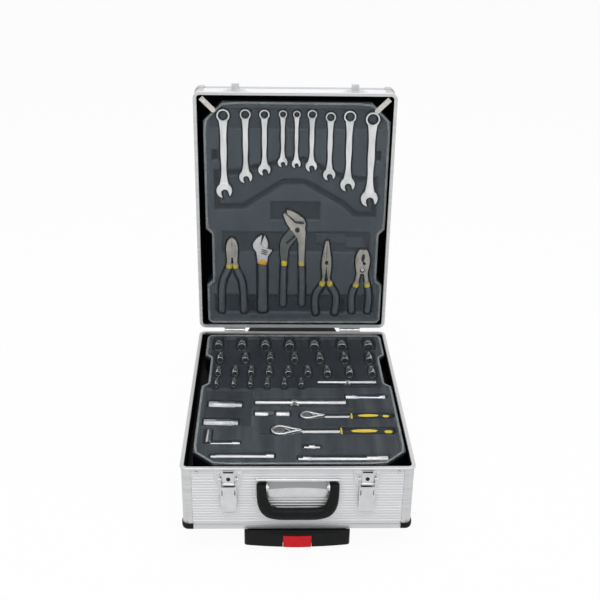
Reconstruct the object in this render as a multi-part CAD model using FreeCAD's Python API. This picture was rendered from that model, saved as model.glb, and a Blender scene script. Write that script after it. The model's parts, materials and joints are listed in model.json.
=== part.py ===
import FreeCAD, Part
import os
from math import cos, pi, radians, sin

os.makedirs("parts", exist_ok=True)
V = FreeCAD.Vector

# Case, in millimetres: outside of the rims, both halves, and the height it stands off the floor
CASE_W = 360.0
CASE_L = 460.0
BASE_H = 114.0
LID_D = 52.0
FLOOR_CLEAR = 34.0
LID_OPEN = 90.0
SEAM = 0.4

# Rim rails, ribbed panels, corner posts, edge trims, corner caps, lining
RIM_W = 6.0
RIM_H = 4.0
RIM_R = 12.0
RIM_ROUND = 1.2
WALL_SET = 2.6
WALL_T = 3.0
RIB_H = 0.8
RIB_PITCH = 5.0
RIB_TOP = 2.6
RIB_SLOPE = 0.6
POST_LEG = 15.5
POST_SET = 2.0
POST_R = 9.0
EDGE_H = 8.0
EDGE_FLANGE = 6.4
EDGE_T = 1.6
CAP_LEG = 18.0
CAP_H = 12.0
CAP_SET = 0.2
CAP_FLOOR = 1.6
CAP_EASE = 1.0
LINING_T = 1.2

# Hinges
HINGE_W = 40.0
HINGE_OFF = 4.5
HINGE_MID = 13.4
HINGE_GAP = 0.3
KNUCKLE_R = 3.0
HINGE_PIN_R = 1.5
PIN_CLEAR = 0.05
LEAF_T = 1.4
LEAF_H = 20.0

# Latches: depths are measured outwards from the rib tops, heights down from the rim
LATCH_SHIFT = 7.0
PLATE_T = 1.2
PLATE_TOP = 4.3
PLATE_W = 43.0
PLATE_WAIST_W = 33.0
PLATE_FOOT_W = 30.0
PLATE_STRAIGHT = 15.5
PLATE_TAPER = 9.5
PLATE_FOOT = 19.0
LEVER_W = 25.0
LEVER_T = 1.5
LEVER_EAR_T = 1.6
LEVER_EAR_R = 3.0
LEVER_PIVOT_DROP = 18.5
LEVER_PIVOT_OUT = 4.5
LEVER_PIN_R = 1.2
LEVER_TIP = 58.5
LEVER_END = 6.0
LEVER_FACE_OUT = 5.5
LEVER_SLIT_IN = 9.0
LEVER_SLIT_W = 1.6
LEVER_SLIT_H = 10.0
LEVER_SLIT_DROP = 5.0
CLAW_ARM = 9.0
CLAW_PIVOT_OUT = 4.0
CLAW_PIN_R = 1.0
CLAW_CURL_R = 2.2
CLAW_W = 18.0
CLAW_T = 1.6
CLAW_OUT = 1.7
CLAW_TOP = 4.3
CLAW_LIP = 1.0
CLAW_SLOT_W = 15.6
CLAW_SLOT_H = 3.0
BARREL_R = 3.2
BARREL_DROP = 19.2
BARREL_PROUD = 0.6
KEY_R = 1.2
KEY_UP = 0.8
KEY_SLIT = 1.0
KEY_DROP = 2.2
EAR_GAP = 0.3
STRIKE_W = 44.0
STRIKE_BACK_W = 26.0
STRIKE_H = 26.0
STRIKE_STRAIGHT = 9.1
STRIKE_TAB_UP = 15.6
STRIKE_T = 1.2
STRIKE_TAB_W = 13.5
STRIKE_TAB_T = 1.6
STRIKE_TAB_OUT = 12.5
STRIKE_TAB_LIP = 3.5

# Carry handle
HANDLE_W = 127.0
HANDLE_ARM = 15.0
HANDLE_BEND = 22.0
HANDLE_DROP = 31.0
HANDLE_REACH = 31.0
HANDLE_GRIP_H = 17.0
HANDLE_GRIP_T = 15.0
HANDLE_OUT = 8.0
HANDLE_EYE_R = 5.8
HANDLE_PIN_R = 2.5
HANDLE_BOW = 4.0
HANDLE_PLATE_T = 1.5
HANDLE_PLATE_H = 34.0
HANDLE_PLATE_WAIST = 96.0
HANDLE_PLATE_HEAD = 12.0
HANDLE_BEAD_GAP = 0.6
HANDLE_LUG_T = 2.0
HANDLE_PIN_INSET = 2.0

# Trolley
TUBE_X = 58.0
TUBE_W = 22.0
TUBE_H = 14.0
TUBE_T = 1.2
TUBE_FIT = 0.3
TUBE_DROP = 12.0
TUBE_TAIL = 46.0
BRACKET_SIDE = 9.0
BRACKET_R = 6.0
BRACKET_RIB = 4.8
BRACKET_ROOF = 4.0
BRACKET_L = 36.0
BRACKET_H = 24.0
BRACKET_FIT = 0.05
GRIP_SIDE = 13.5
GRIP_TOP_DROP = 1.5
GRIP_H = 24.0
GRIP_REACH = 11.0
GRIP_BOW = 6.0
GRIP_R = 9.0
GRIP_STAND = 3.5
BUTTON_W = 44.0
BUTTON_H = 21.0
BUTTON_DEEP = 6.0
BUTTON_FIT = 0.5
BUTTON_PROUD = 1.0
BUTTON_STROKE = 5.0
BUTTON_STEM_R = 3.0
FOOT_R = 9.0
FOOT_TOE_R = 8.1
FOOT_OUT = 6.0

# Wheels and stand
WHEEL_R = 25.0
WHEEL_W = 20.0
WHEEL_HUB_R = 17.0
WHEEL_IN = 38.0
WHEEL_BACK = 28.0
WHEEL_GAP = 3.0
CHEEK_T = 4.0
CHEEK_GAP = 1.5
AXLE_R = 4.0
STAND_W = 182.0
STAND_GAP = 1.0
STAND_H = 28.0
STAND_T = 4.0
STAND_DROP = 6.0
STAND_TAPER = 14.0
HOUSING_LIFT = 9.0
HOUSING_H = 40.0
HOUSING_BROW = 24.0
HOUSING_CHEEK = 9.0
HOUSING_BACK = 14.0
HOUSING_FOOT = 4.0
HOUSING_MOUTH = 12.0
TYRE_ROUND = 2.5
HUB_DISH = 4.0
HUB_DISH_R = 13.2
HUB_BOSS_R = 7.6

# Trays: positions on a tray are drawn for one of TRAY_DRAWN_W by TRAY_DRAWN_L and follow its size
TRAY_SIDE_GAP = 6.2
TRAY_SHIFT = 3.5
TRAY_HINGE_GAP = 8.0
TRAY_FAR_GAP = 18.0
TRAY_DRAWN_W = 334.0
TRAY_DRAWN_L = 434.0
TRAY_CHAMFER = 35.0
TRAY_R = 11.0
TRAY_T = 1.6
TRAY_NOTCH_LOW = 82.0
TRAY_NOTCH_HIGH = 195.0
TRAY_NOTCH = 11.0
TRAY_DECK = 5.5
COVER_T = 0.8
COVER_INSET = 1.0
BASE_TRAY_DEPTH = 29.0
LEDGE_W = 16.0
LEDGE_H = 8.0
LEDGE_END = 30.0
POCKET_CLEAR = 1.5
POCKET_FLOOR = 0.3
FINGER_ROOM = 20.0
TOOL_SINK = 0.6
CLIP_W = 9.0
CLIP_T = 1.6
CLIP_LEN = 27.0
CLIP_TAIL = 7.5
CLIP_IN = 12.0
CLIP_DOWN = 10.0
CLIP_GAP = 0.2
CLIP_SCREW_R = 1.9
CLIP_HEAD_R = 3.6
CLIP_HEAD_H = 1.6
CLIP_SLOT = 0.8
CLIP_POST_R = 6.0

# Tools
WRENCH_T = 6.0
SHANK_INSET = 0.7
RING_HOLE = 0.4
JAW_RATIO = 1.22
JAW_REACH = 0.46
JAW_MOUTH = 0.24
JAW_DEEP = 0.08
JAW_TURN = 15.0
PLIER_T = 4.8
PLIER_GAP = 0.2
PLIER_SPLIT = 0.3
PLIER_RIVET_R = 3.0
PLIER_GRIP_R = 5.6
TOOL_STEP = 0.6
ADJUST_T = 8.0
ADJUST_GRIP_W = 18.0
ADJUST_GRIP_R = 6.0
ADJUST_JAW_STEP = 1.0
PLUG_SOCKET_R = 9.5
PLUG_SOCKET_L = 56.0
PLUG_NECK_L = 12.0
PLUG_BORE_L = 30.0
JOINT_R = 7.0
JOINT_ARM = 7.0
JOINT_FORK_T = 2.0
JOINT_FORK_W = 11.0
JOINT_CORE = 5.4
L_BAR_R = 5.0
L_BAR_ARM_R = 2.4
L_BAR_END_R = 3.6
L_BAR_END_L = 12.0
RATCHET_T = 12.0
RATCHET_NECK_T = 8.0
RATCHET_CAP_H = 1.0

# Fasteners
RIVET_R = 2.4
RIVET_TOP_R = 1.44
RIVET_H = 1.2
RIVET_DOWN = 5.0
POST_RIVET_IN = 8.0
LATCH_RIVET_X = 15.5
LATCH_RIVET_DOWN = 6.0
STRIKE_RIVET_X = 15.8
HINGE_RIVET_X = 12.8
HINGE_RIVET_DOWN = 12.0

# Worked-out sizes
Z_BASE = FLOOR_CLEAR
Z_RIM = Z_BASE + BASE_H
INNER = WALL_SET + WALL_T
CLEAR_IN = INNER + LINING_T
Y_WALL = WALL_SET
Y_BACK_WALL = CASE_L - WALL_SET
LATCH_X = (HANDLE_W / 2 + CASE_W / 2 - POST_SET - POST_LEG) / 2 - LATCH_SHIFT
WHEEL_X = CASE_W / 2 - WHEEL_IN
HINGE_X = STAND_W / 2 + STAND_GAP + HINGE_W / 2
BRACKET_W = 2 * TUBE_X + TUBE_W + 2 * BRACKET_SIDE
GRIP_W = 2 * TUBE_X + TUBE_W + 2 * GRIP_SIDE
FOOT_X = TUBE_X + FOOT_OUT
Y_AXIS = CASE_L + HINGE_OFF
Z_AXIS = Z_RIM + SEAM / 2
TRAY_W = CASE_W - 2 * (CLEAR_IN + TRAY_SIDE_GAP)
TRAY_L = CASE_L - TRAY_HINGE_GAP - TRAY_FAR_GAP
LID_TRAY_DEPTH = LID_D - EDGE_T - WALL_T - LINING_T - TRAY_DECK
SCALE_U = TRAY_W / TRAY_DRAWN_W
SCALE_V = TRAY_L / TRAY_DRAWN_L
BACK_MOST = Y_AXIS + SEAM / 2 + LID_D + CAP_FLOOR
HANDLE_BACK = WALL_SET - HANDLE_OUT + HANDLE_EYE_R
FRONT_MOST = min(-GRIP_REACH - BUTTON_PROUD, HANDLE_BACK - HANDLE_GRIP_T)
Y_MID = (BACK_MOST + FRONT_MOST) / 2
NODES = {}


def box(x0, x1, y0, y1, z0, z1):
    return Part.makeBox(x1 - x0, y1 - y0, z1 - z0, V(x0, y0, z0))


def rod(radius, start, end):
    way = V(*end) - V(*start)
    return Part.makeCylinder(radius, way.Length, V(*start), way)


def prism(points, way):
    corners = [V(*p) for p in points]
    return Part.Face(Part.makePolygon(corners + corners[:1])).extrude(V(*way))


def join(shapes):
    first = shapes[0]
    if len(shapes) > 1:
        first = first.fuse(shapes[1:])
    return first.removeSplitter()


def group(shapes):
    return Part.makeCompound([s for shape in shapes for s in shape.Solids])


def moved(shape, x=0.0, y=0.0, z=0.0):
    copy = shape.copy()
    copy.translate(V(x, y, z))
    return copy


def rounded(x0, x1, y0, y1, radius, z0, z1):
    """A block whose upright edges are rounded."""
    block = box(x0, x1, y0, y1, z0, z1)
    upright = [e for e in block.Edges if abs(e.tangentAt(e.FirstParameter).z) > 0.9]
    return block.makeFillet(radius, upright)


def plan(inset, radius, z0, z1):
    """The case's outline, drawn in by an inset."""
    half = CASE_W / 2 - inset
    return rounded(-half, half, inset, CASE_L - inset, radius, z0, z1)


def inside(inset, z0, z1):
    half = CASE_W / 2 - inset
    return box(-half, half, inset, CASE_L - inset, z0, z1)


def mitred(ring, z0, z1):
    """A ring cut at 45 degrees into its front, back, left and right lengths."""
    half = CASE_W / 2 + 1
    deep = CASE_W / 4
    far = CASE_L + 1
    front = [(-half, -1, z0), (half, -1, z0), (half - deep, deep - 1, z0), (-half + deep, deep - 1, z0)]
    back = [(x, CASE_L - y, z) for x, y, z in front]
    left = [(-half, -1, z0), (-half + deep, deep - 1, z0), (-half + deep, far - deep, z0), (-half, far, z0)]
    right = [(-x, y, z) for x, y, z in left]
    return [ring.common(prism(p, (0, 0, z1 - z0))) for p in (front, back, left, right)]


def rail_pieces(ring):
    """A rim ring cut into four straight rails and four corner pieces."""
    half = CASE_W / 2
    run = half - RIM_R
    pieces = []
    for y0, y1 in ((0.0, RIM_R), (CASE_L - RIM_R, CASE_L)):
        pieces.append(ring.common(box(-run, run, y0, y1, 0.0, RIM_H)))
        pieces.append(ring.common(box(-half, -run, y0, y1, 0.0, RIM_H)))
        pieces.append(ring.common(box(run, half, y0, y1, 0.0, RIM_H)))
    pieces.append(ring.common(box(-half, -run, RIM_R, CASE_L - RIM_R, 0.0, RIM_H)))
    pieces.append(ring.common(box(run, half, RIM_R, CASE_L - RIM_R, 0.0, RIM_H)))
    return pieces


def rib_line(low, high):
    """Ribbed outline of a panel from low to high as (along, depth), depth 0 at the rib tops."""
    count = int((high - low - RIB_PITCH) / RIB_PITCH)
    start = (low + high - count * RIB_PITCH) / 2
    points = [(low, RIB_H)]
    for k in range(count):
        at = start + k * RIB_PITCH + (RIB_PITCH - RIB_TOP) / 2
        points.append((at - RIB_SLOPE, RIB_H))
        points.append((at, 0.0))
        points.append((at + RIB_TOP, 0.0))
        points.append((at + RIB_TOP + RIB_SLOPE, RIB_H))
    points.append((high, RIB_H))
    points.append((high, WALL_T))
    points.append((low, WALL_T))
    return points


def half_shell(depth):
    """One half of the case with its rim at z 0 and its depth upwards."""
    wall_low = RIM_H
    wall_high = depth - EDGE_H
    end = CASE_W / 2 - POST_SET - POST_LEG
    run = POST_SET + POST_LEG
    line = rib_line(wall_low, wall_high)
    front = prism([(-end, WALL_SET + d, z) for z, d in line], (2 * end, 0, 0))
    back = prism([(-end, CASE_L - WALL_SET - d, z) for z, d in line], (2 * end, 0, 0))
    side = CASE_W / 2 - WALL_SET
    left = prism([(-side + d, run, z) for z, d in line], (0, CASE_L - 2 * run, 0))
    right = prism([(side - d, run, z) for z, d in line], (0, CASE_L - 2 * run, 0))
    flat_in = INNER + BRACKET_FIT
    flat = CASE_W / 2 - flat_in
    cover = rib_line(-flat, flat)
    top = depth - EDGE_T
    panel = prism([(x, flat_in, top - d) for x, d in cover], (0, CASE_L - 2 * flat_in, 0))
    tube = plan(POST_SET, POST_R, wall_low, wall_high).cut(inside(INNER, wall_low, wall_high))
    posts = []
    for sx in (-1, 1):
        for y0 in (0.0, CASE_L - run):
            xs = sorted((sx * CASE_W / 2, sx * end))
            posts.append(tube.common(box(xs[0], xs[1], y0, y0 + run, wall_low, wall_high)))
    ring = plan(POST_SET, POST_R, wall_high, depth)
    ring = ring.cut(inside(INNER, wall_high, depth - EDGE_T))
    ring = ring.cut(inside(INNER + EDGE_FLANGE, wall_high, depth))
    edges = mitred(ring, wall_high, depth)
    rim = plan(0.0, RIM_R, 0.0, RIM_H)
    outer = [e for e in rim.Edges if abs(e.tangentAt(e.FirstParameter).z) < 0.5]
    rim = rim.makeFillet(RIM_ROUND, outer)
    rim = rim.cut(plan(RIM_W, RIM_R - RIM_W, 0.0, RIM_H))
    rails = rail_pieces(rim)
    cap = plan(CAP_SET, POST_R + POST_SET, depth - CAP_H, depth + CAP_FLOOR)
    cap = cap.cut(plan(POST_SET, POST_R - CAP_EASE, depth - CAP_H, depth))
    caps = []
    for sx in (-1, 1):
        for y0 in (0.0, CASE_L - CAP_LEG):
            xs = sorted((sx * CASE_W / 2, sx * (CASE_W / 2 - CAP_LEG)))
            caps.append(cap.common(box(xs[0], xs[1], y0, y0 + CAP_LEG, 0, depth + CAP_FLOOR)))
    roof = depth - EDGE_T - WALL_T
    lining = inside(INNER, RIM_H, roof).cut(inside(CLEAR_IN, RIM_H, roof - LINING_T))
    names = ("front", "rear", "left", "right", "panel", "posts", "edges", "rails", "caps", "lining")
    shapes = (front, back, left, right, panel, group(posts), group(edges), group(rails), group(caps), lining)
    return dict(zip(names, shapes))


def to_base(shape):
    return moved(shape.mirror(V(0, 0, 0), V(0, 0, 1)), z=Z_RIM)


def to_lid_closed(shape):
    return moved(shape, z=Z_RIM + SEAM)


def opened(shape):
    copy = shape.copy()
    copy.rotate(V(0, Y_AXIS, Z_AXIS), V(1, 0, 0), -LID_OPEN)
    return copy


def build_shells():
    base = {k: to_base(s) for k, s in half_shell(BASE_H).items()}
    lid = {k: opened(to_lid_closed(s)) for k, s in half_shell(LID_D).items()}
    NODES["base_bottom_panel"] = base["panel"]
    NODES["base_front_panel"] = base["front"]
    NODES["base_rear_panel"] = base["rear"]
    NODES["base_side_panels"] = group([base["left"], base["right"]])
    NODES["lid_top_panel"] = lid["panel"]
    NODES["lid_wall_panels"] = group([lid[k] for k in ("front", "rear", "left", "right")])
    for side, half in (("base", base), ("lid", lid)):
        NODES[side + "_corner_posts"] = half["posts"]
        NODES[side + "_rim_rails"] = half["rails"]
        NODES[side + "_corner_caps"] = half["caps"]
        NODES[side + "_lining"] = half["lining"]
    NODES["base_bottom_edges"] = base["edges"]
    NODES["lid_top_edges"] = lid["edges"]


def hinge_leaf(x, upper):
    """One leaf in the closed pose: plate on the rear wall, step round the rim, knuckles on the axis."""
    up = 1 if upper else -1
    rim = Z_RIM + SEAM if upper else Z_RIM
    half = HINGE_W / 2

    def slab(x0, x1, y0, y1, h0, h1):
        z = sorted((rim + up * h0, rim + up * h1))
        return box(x + x0, x + x1, y0, y1, z[0], z[1])

    step = RIM_H + HINGE_GAP
    wide = HINGE_MID / 2 + HINGE_GAP
    spans = ((-HINGE_MID / 2, HINGE_MID / 2),) if upper else ((-half, -wide), (wide, half))
    parts = [slab(-half, half, Y_BACK_WALL, Y_BACK_WALL + LEAF_T, step, step + LEAF_H)]
    parts.append(slab(-half, half, Y_BACK_WALL, Y_AXIS + LEAF_T / 2, step, step + LEAF_T))
    for x0, x1 in spans:
        parts.append(slab(x0, x1, Y_AXIS - LEAF_T / 2, Y_AXIS + LEAF_T / 2, KNUCKLE_R / 2, step + LEAF_T))
        parts.append(rod(KNUCKLE_R, (x + x0, Y_AXIS, Z_AXIS), (x + x1, Y_AXIS, Z_AXIS)))
    bore = rod(HINGE_PIN_R + PIN_CLEAR, (x - half - 1, Y_AXIS, Z_AXIS), (x + half + 1, Y_AXIS, Z_AXIS))
    return join(parts).cut(bore)


def rivet(x, y, z, way):
    """A low round head on a face that looks along way."""
    return Part.makeCone(RIVET_R, RIVET_TOP_R, RIVET_H, V(x, y, z), V(*way))


def build_hinges():
    lower = []
    upper = []
    pins = []
    for x in (-HINGE_X, HINGE_X):
        lower.append(hinge_leaf(x, False))
        upper.append(opened(hinge_leaf(x, True)))
        ends = [(x + s * HINGE_W / 2, Y_AXIS, Z_AXIS) for s in (-1, 1)]
        pins.append(rod(HINGE_PIN_R, ends[0], ends[1]))
    NODES["hinge_base_leaves"] = group(lower)
    NODES["hinge_lid_leaves"] = group(upper)
    NODES["hinge_pins"] = group(pins)


def latch_plate(x):
    top = Z_RIM - PLATE_TOP
    rows = [(PLATE_W, 0.0), (PLATE_W, PLATE_STRAIGHT), (PLATE_WAIST_W, PLATE_STRAIGHT + PLATE_TAPER)]
    rows.append((PLATE_FOOT_W, PLATE_STRAIGHT + PLATE_TAPER + PLATE_FOOT))
    right = [(x + w / 2, Y_WALL, top - d) for w, d in rows]
    left = [(x - w / 2, Y_WALL, top - d) for w, d in reversed(rows)]
    parts = [prism(right + left, (0, -PLATE_T, 0))]
    z = Z_RIM - LEVER_PIVOT_DROP
    y = Y_WALL - LEVER_PIVOT_OUT
    out = LEVER_W / 2 + EAR_GAP
    ear = (out, out + LEVER_EAR_T)
    for s in (-1, 1):
        xs = sorted((x + s * ear[0], x + s * ear[1]))
        parts.append(box(xs[0], xs[1], y, Y_WALL, z - LEVER_EAR_R, z + LEVER_EAR_R))
        parts.append(rod(LEVER_EAR_R, (xs[0], y, z), (xs[1], y, z)))
        pin = LEVER_W / 2 - LEVER_EAR_T - EAR_GAP / 2
        parts.append(rod(LEVER_PIN_R, (x + s * pin, y, z), (x + s * ear[1], y, z)))
    return join(parts)


def lever_outline(x, y, z):
    """Front outline of the lever's face, from its top edge to the shallow arc of its end."""
    half = LEVER_W / 2
    start = z - LEVER_TIP + LEVER_END
    points = [(x - half, y, z), (x + half, y, z), (x + half, y, start)]
    for k in range(1, 10):
        a = pi * k / 10
        points.append((x + half * cos(a), y, start - LEVER_END * sin(a)))
    points.append((x - half, y, start))
    return points


def latch_lever(x):
    z = Z_RIM - LEVER_PIVOT_DROP
    y = Y_WALL - LEVER_PIVOT_OUT
    face_y = Y_WALL - LEVER_FACE_OUT
    pin_z = z - CLAW_ARM
    pin_y = Y_WALL - CLAW_PIVOT_OUT
    face_top = pin_z - CLAW_CURL_R - 2 * EAR_GAP - LEVER_T
    parts = [prism(lever_outline(x, face_y, z), (0, -LEVER_T, 0))]
    gap = LEVER_W / 2 - LEVER_EAR_T
    window = box(x - gap, x + gap, face_y - LEVER_T - 1, face_y + 1, face_top, z + 1)
    for s in (-1, 1):
        xs = sorted((x + s * LEVER_W / 2, x + s * gap))
        parts.append(box(xs[0], xs[1], face_y - LEVER_T, pin_y + CLAW_CURL_R, face_top, z))
        parts.append(rod(LEVER_EAR_R - EAR_GAP, (xs[0], y, z), (xs[1], y, z)))
    slit_top = face_top - LEVER_SLIT_DROP
    slits = []
    for s in (-1, 1):
        xs = sorted((x + s * LEVER_SLIT_IN, x + s * (LEVER_SLIT_IN + LEVER_SLIT_W)))
        slits.append(box(xs[0], xs[1], face_y - LEVER_T - 1, face_y + 1, slit_top - LEVER_SLIT_H, slit_top))
    solid = join(parts).cut([window] + slits)
    reach = gap + LEVER_EAR_T / 2
    pin = rod(CLAW_PIN_R, (x - reach, pin_y, pin_z), (x + reach, pin_y, pin_z))
    bore = rod(LEVER_PIN_R + PIN_CLEAR, (x - LEVER_W, y, z), (x + LEVER_W, y, z))
    return join([solid, pin]).cut(bore)


def latch_claw(x):
    half = CLAW_W / 2
    pin_z = Z_RIM - LEVER_PIVOT_DROP - CLAW_ARM
    pin_y = Y_WALL - CLAW_PIVOT_OUT
    back = Y_WALL - CLAW_OUT
    top = Z_RIM - CLAW_TOP
    plate = box(x - half, x + half, back - CLAW_T, back, pin_z, top)
    curl = rod(CLAW_CURL_R, (x - half, pin_y, pin_z), (x + half, pin_y, pin_z))
    slot_top = top - CLAW_LIP
    hole = box(x - CLAW_SLOT_W / 2, x + CLAW_SLOT_W / 2, back - 5, back + 5, slot_top - CLAW_SLOT_H, slot_top)
    bore = rod(CLAW_PIN_R + PIN_CLEAR, (x - LEVER_W, pin_y, pin_z), (x + LEVER_W, pin_y, pin_z))
    z = Z_RIM - BARREL_DROP
    lock = rod(BARREL_R + PIN_CLEAR, (x, back + 5, z), (x, back - 5, z))
    return join([plate, curl]).cut([hole, bore, lock])


def lock_barrel(x):
    back = Y_WALL - CLAW_OUT
    z = Z_RIM - BARREL_DROP
    front = back - CLAW_T - BARREL_PROUD
    body = rod(BARREL_R, (x, back, z), (x, front, z))
    deep = CLAW_T
    key = rod(KEY_R, (x, front + deep, z + KEY_UP), (x, front - 1, z + KEY_UP))
    half = KEY_SLIT / 2
    slit = box(x - half, x + half, front - 1, front + deep, z - KEY_DROP, z + KEY_UP)
    return body.cut(key).cut(slit)


def latch_strike(x):
    """Catch on the lid's front wall, in the closed pose."""
    low = Z_RIM + SEAM + PLATE_TOP
    rows = [(STRIKE_W, 0.0), (STRIKE_W, STRIKE_STRAIGHT), (STRIKE_BACK_W, STRIKE_H)]
    right = [(x + w / 2, Y_WALL, low + d) for w, d in rows]
    left = [(x - w / 2, Y_WALL, low + d) for w, d in reversed(rows)]
    half = STRIKE_TAB_W / 2
    z = low + STRIKE_TAB_UP
    out = Y_WALL - STRIKE_TAB_OUT
    stem = box(x - half, x + half, out, Y_WALL, z, z + STRIKE_TAB_T)
    lip = box(x - half, x + half, out, out + STRIKE_TAB_T, z, z + STRIKE_TAB_LIP + STRIKE_TAB_T)
    return join([prism(right + left, (0, -STRIKE_T, 0)), stem, lip])


def build_latches():
    places = (("left", -LATCH_X), ("right", LATCH_X))
    NODES["latch_plates"] = group([latch_plate(x) for _, x in places])
    NODES["latch_strikes"] = group([opened(latch_strike(x)) for _, x in places])
    for side, x in places:
        NODES[side + "_latch_lever"] = latch_lever(x)
        NODES[side + "_latch_claw"] = latch_claw(x)
        NODES[side + "_lock_barrel"] = lock_barrel(x)


def handle_pivot():
    return Y_WALL - HANDLE_OUT, Z_RIM - HANDLE_DROP


def handle_bead(half, top):
    """Half-round bead along the plate's top edge, above the handle's eyes."""
    radius = (HANDLE_PLATE_HEAD - HANDLE_EYE_R - HANDLE_BEAD_GAP) / 2
    y = Y_WALL - HANDLE_PLATE_T
    bead = rod(radius, (-half, y, top - radius), (half, y, top - radius))
    return bead.common(box(-half, half, y - radius, y, top - 2 * radius, top))


def build_handle():
    y, z = handle_pivot()
    half = HANDLE_W / 2
    inner = half - HANDLE_ARM
    low = z - HANDLE_REACH
    back = HANDLE_BACK
    front = back - HANDLE_GRIP_T
    bottom = low - HANDLE_BEND
    arm = []
    for k in range(9):
        a = radians(90.0 * k / 8)
        arm.append((half - HANDLE_BEND + HANDLE_BEND * cos(a), back, low - HANDLE_BEND * sin(a)))
    bow = [(half * t, back, bottom - HANDLE_BOW * (1 - t * t)) for t in (0.6, 0.4, 0.2)]
    right = [(half, back, z)] + arm + bow
    left = [(-px, py, pz) for px, py, pz in reversed(right)]
    opening_low = bottom + HANDLE_GRIP_H - HANDLE_BOW / 2
    body = prism(right + left, (0, front - back, 0))
    window = box(-inner, inner, front - 1, back + 1, opening_low, z + 1)
    eyes = [rod(HANDLE_EYE_R, (s * inner, y, z), (s * half, y, z)) for s in (-1, 1)]
    thin = y - HANDLE_EYE_R
    sheet = []
    if thin > front:
        sheet = [box(-half, half, front - 1, thin, opening_low + HANDLE_GRIP_H, z + 1)]
    solid = join([body.cut([window] + sheet)] + eyes)
    bore = rod(HANDLE_PIN_R + PIN_CLEAR, (-half - 1, y, z), (half + 1, y, z))
    NODES["carry_handle"] = solid.cut(bore)
    top = z + HANDLE_PLATE_HEAD
    neck = top - HANDLE_PLATE_HEAD
    waist = HANDLE_PLATE_WAIST / 2 - EAR_GAP - HANDLE_LUG_T / 2
    outline = [(-half, top), (half, top), (half, neck), (waist, neck), (waist, top - HANDLE_PLATE_H)]
    outline += [(-waist, top - HANDLE_PLATE_H), (-waist, neck), (-half, neck)]
    parts = [prism([(px, Y_WALL, pz) for px, pz in outline], (0, -HANDLE_PLATE_T, 0)), handle_bead(half, top)]
    pins = []
    lug_out = inner - EAR_GAP
    for s in (-1, 1):
        xs = sorted((s * lug_out, s * (lug_out - HANDLE_LUG_T)))
        lug = box(xs[0], xs[1], y, Y_WALL, z - HANDLE_EYE_R, z + HANDLE_EYE_R)
        lug = join([lug, rod(HANDLE_EYE_R, (xs[0], y, z), (xs[1], y, z))])
        parts.append(lug)
        pin = (s * (lug_out - 2 * HANDLE_LUG_T), s * (half - HANDLE_PIN_INSET))
        pins.append(rod(HANDLE_PIN_R, (pin[0], y, z), (pin[1], y, z)))
    hole = rod(HANDLE_PIN_R + PIN_CLEAR / 2, (-half, y, z), (half, y, z))
    NODES["handle_plate"] = join(parts).cut(hole)
    NODES["handle_pins"] = group(pins)


def tube(x, shrink, y0, y1):
    """A rectangular tube, its outside drawn in by shrink on each side."""
    half = TUBE_W / 2 - shrink
    tall = TUBE_H / 2 - shrink
    z = Z_BASE - TUBE_DROP
    body = box(x - half, x + half, y0, y1, z - tall, z + tall)
    half -= TUBE_T
    tall -= TUBE_T
    return body.cut(box(x - half, x + half, y0 - 1, y1 + 1, z - tall, z + tall))


def trolley_bracket(y0):
    half = BRACKET_W / 2
    z = Z_BASE - TUBE_DROP
    body = rounded(-half, half, y0, y0 + BRACKET_L, BRACKET_R, Z_BASE - BRACKET_H, Z_BASE)
    holes = []
    for x in (-TUBE_X, TUBE_X):
        w = TUBE_W / 2 + BRACKET_FIT
        h = TUBE_H / 2 + BRACKET_FIT
        holes.append(box(x - w, x + w, y0 - 1, y0 + BRACKET_L + 1, z - h, z + h))
    between = TUBE_X - TUBE_W / 2 - BRACKET_RIB
    roof = Z_BASE - BRACKET_ROOF
    holes.append(box(-between, between, y0 - 1, y0 + BRACKET_L + 1, Z_BASE - BRACKET_H - 1, roof))
    return body.cut(holes)


def bowed_block(half, y_ends, y_mid, y_back, z0, z1):
    """A bar whose front swells forwards in an arc."""
    points = []
    for k in range(21):
        t = -1 + k / 10
        points.append((half * t, y_mid + (y_ends - y_mid) * t * t, z0))
    points += [(half, y_back, z0), (-half, y_back, z0)]
    return prism(points, (0, 0, z1 - z0))


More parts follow.
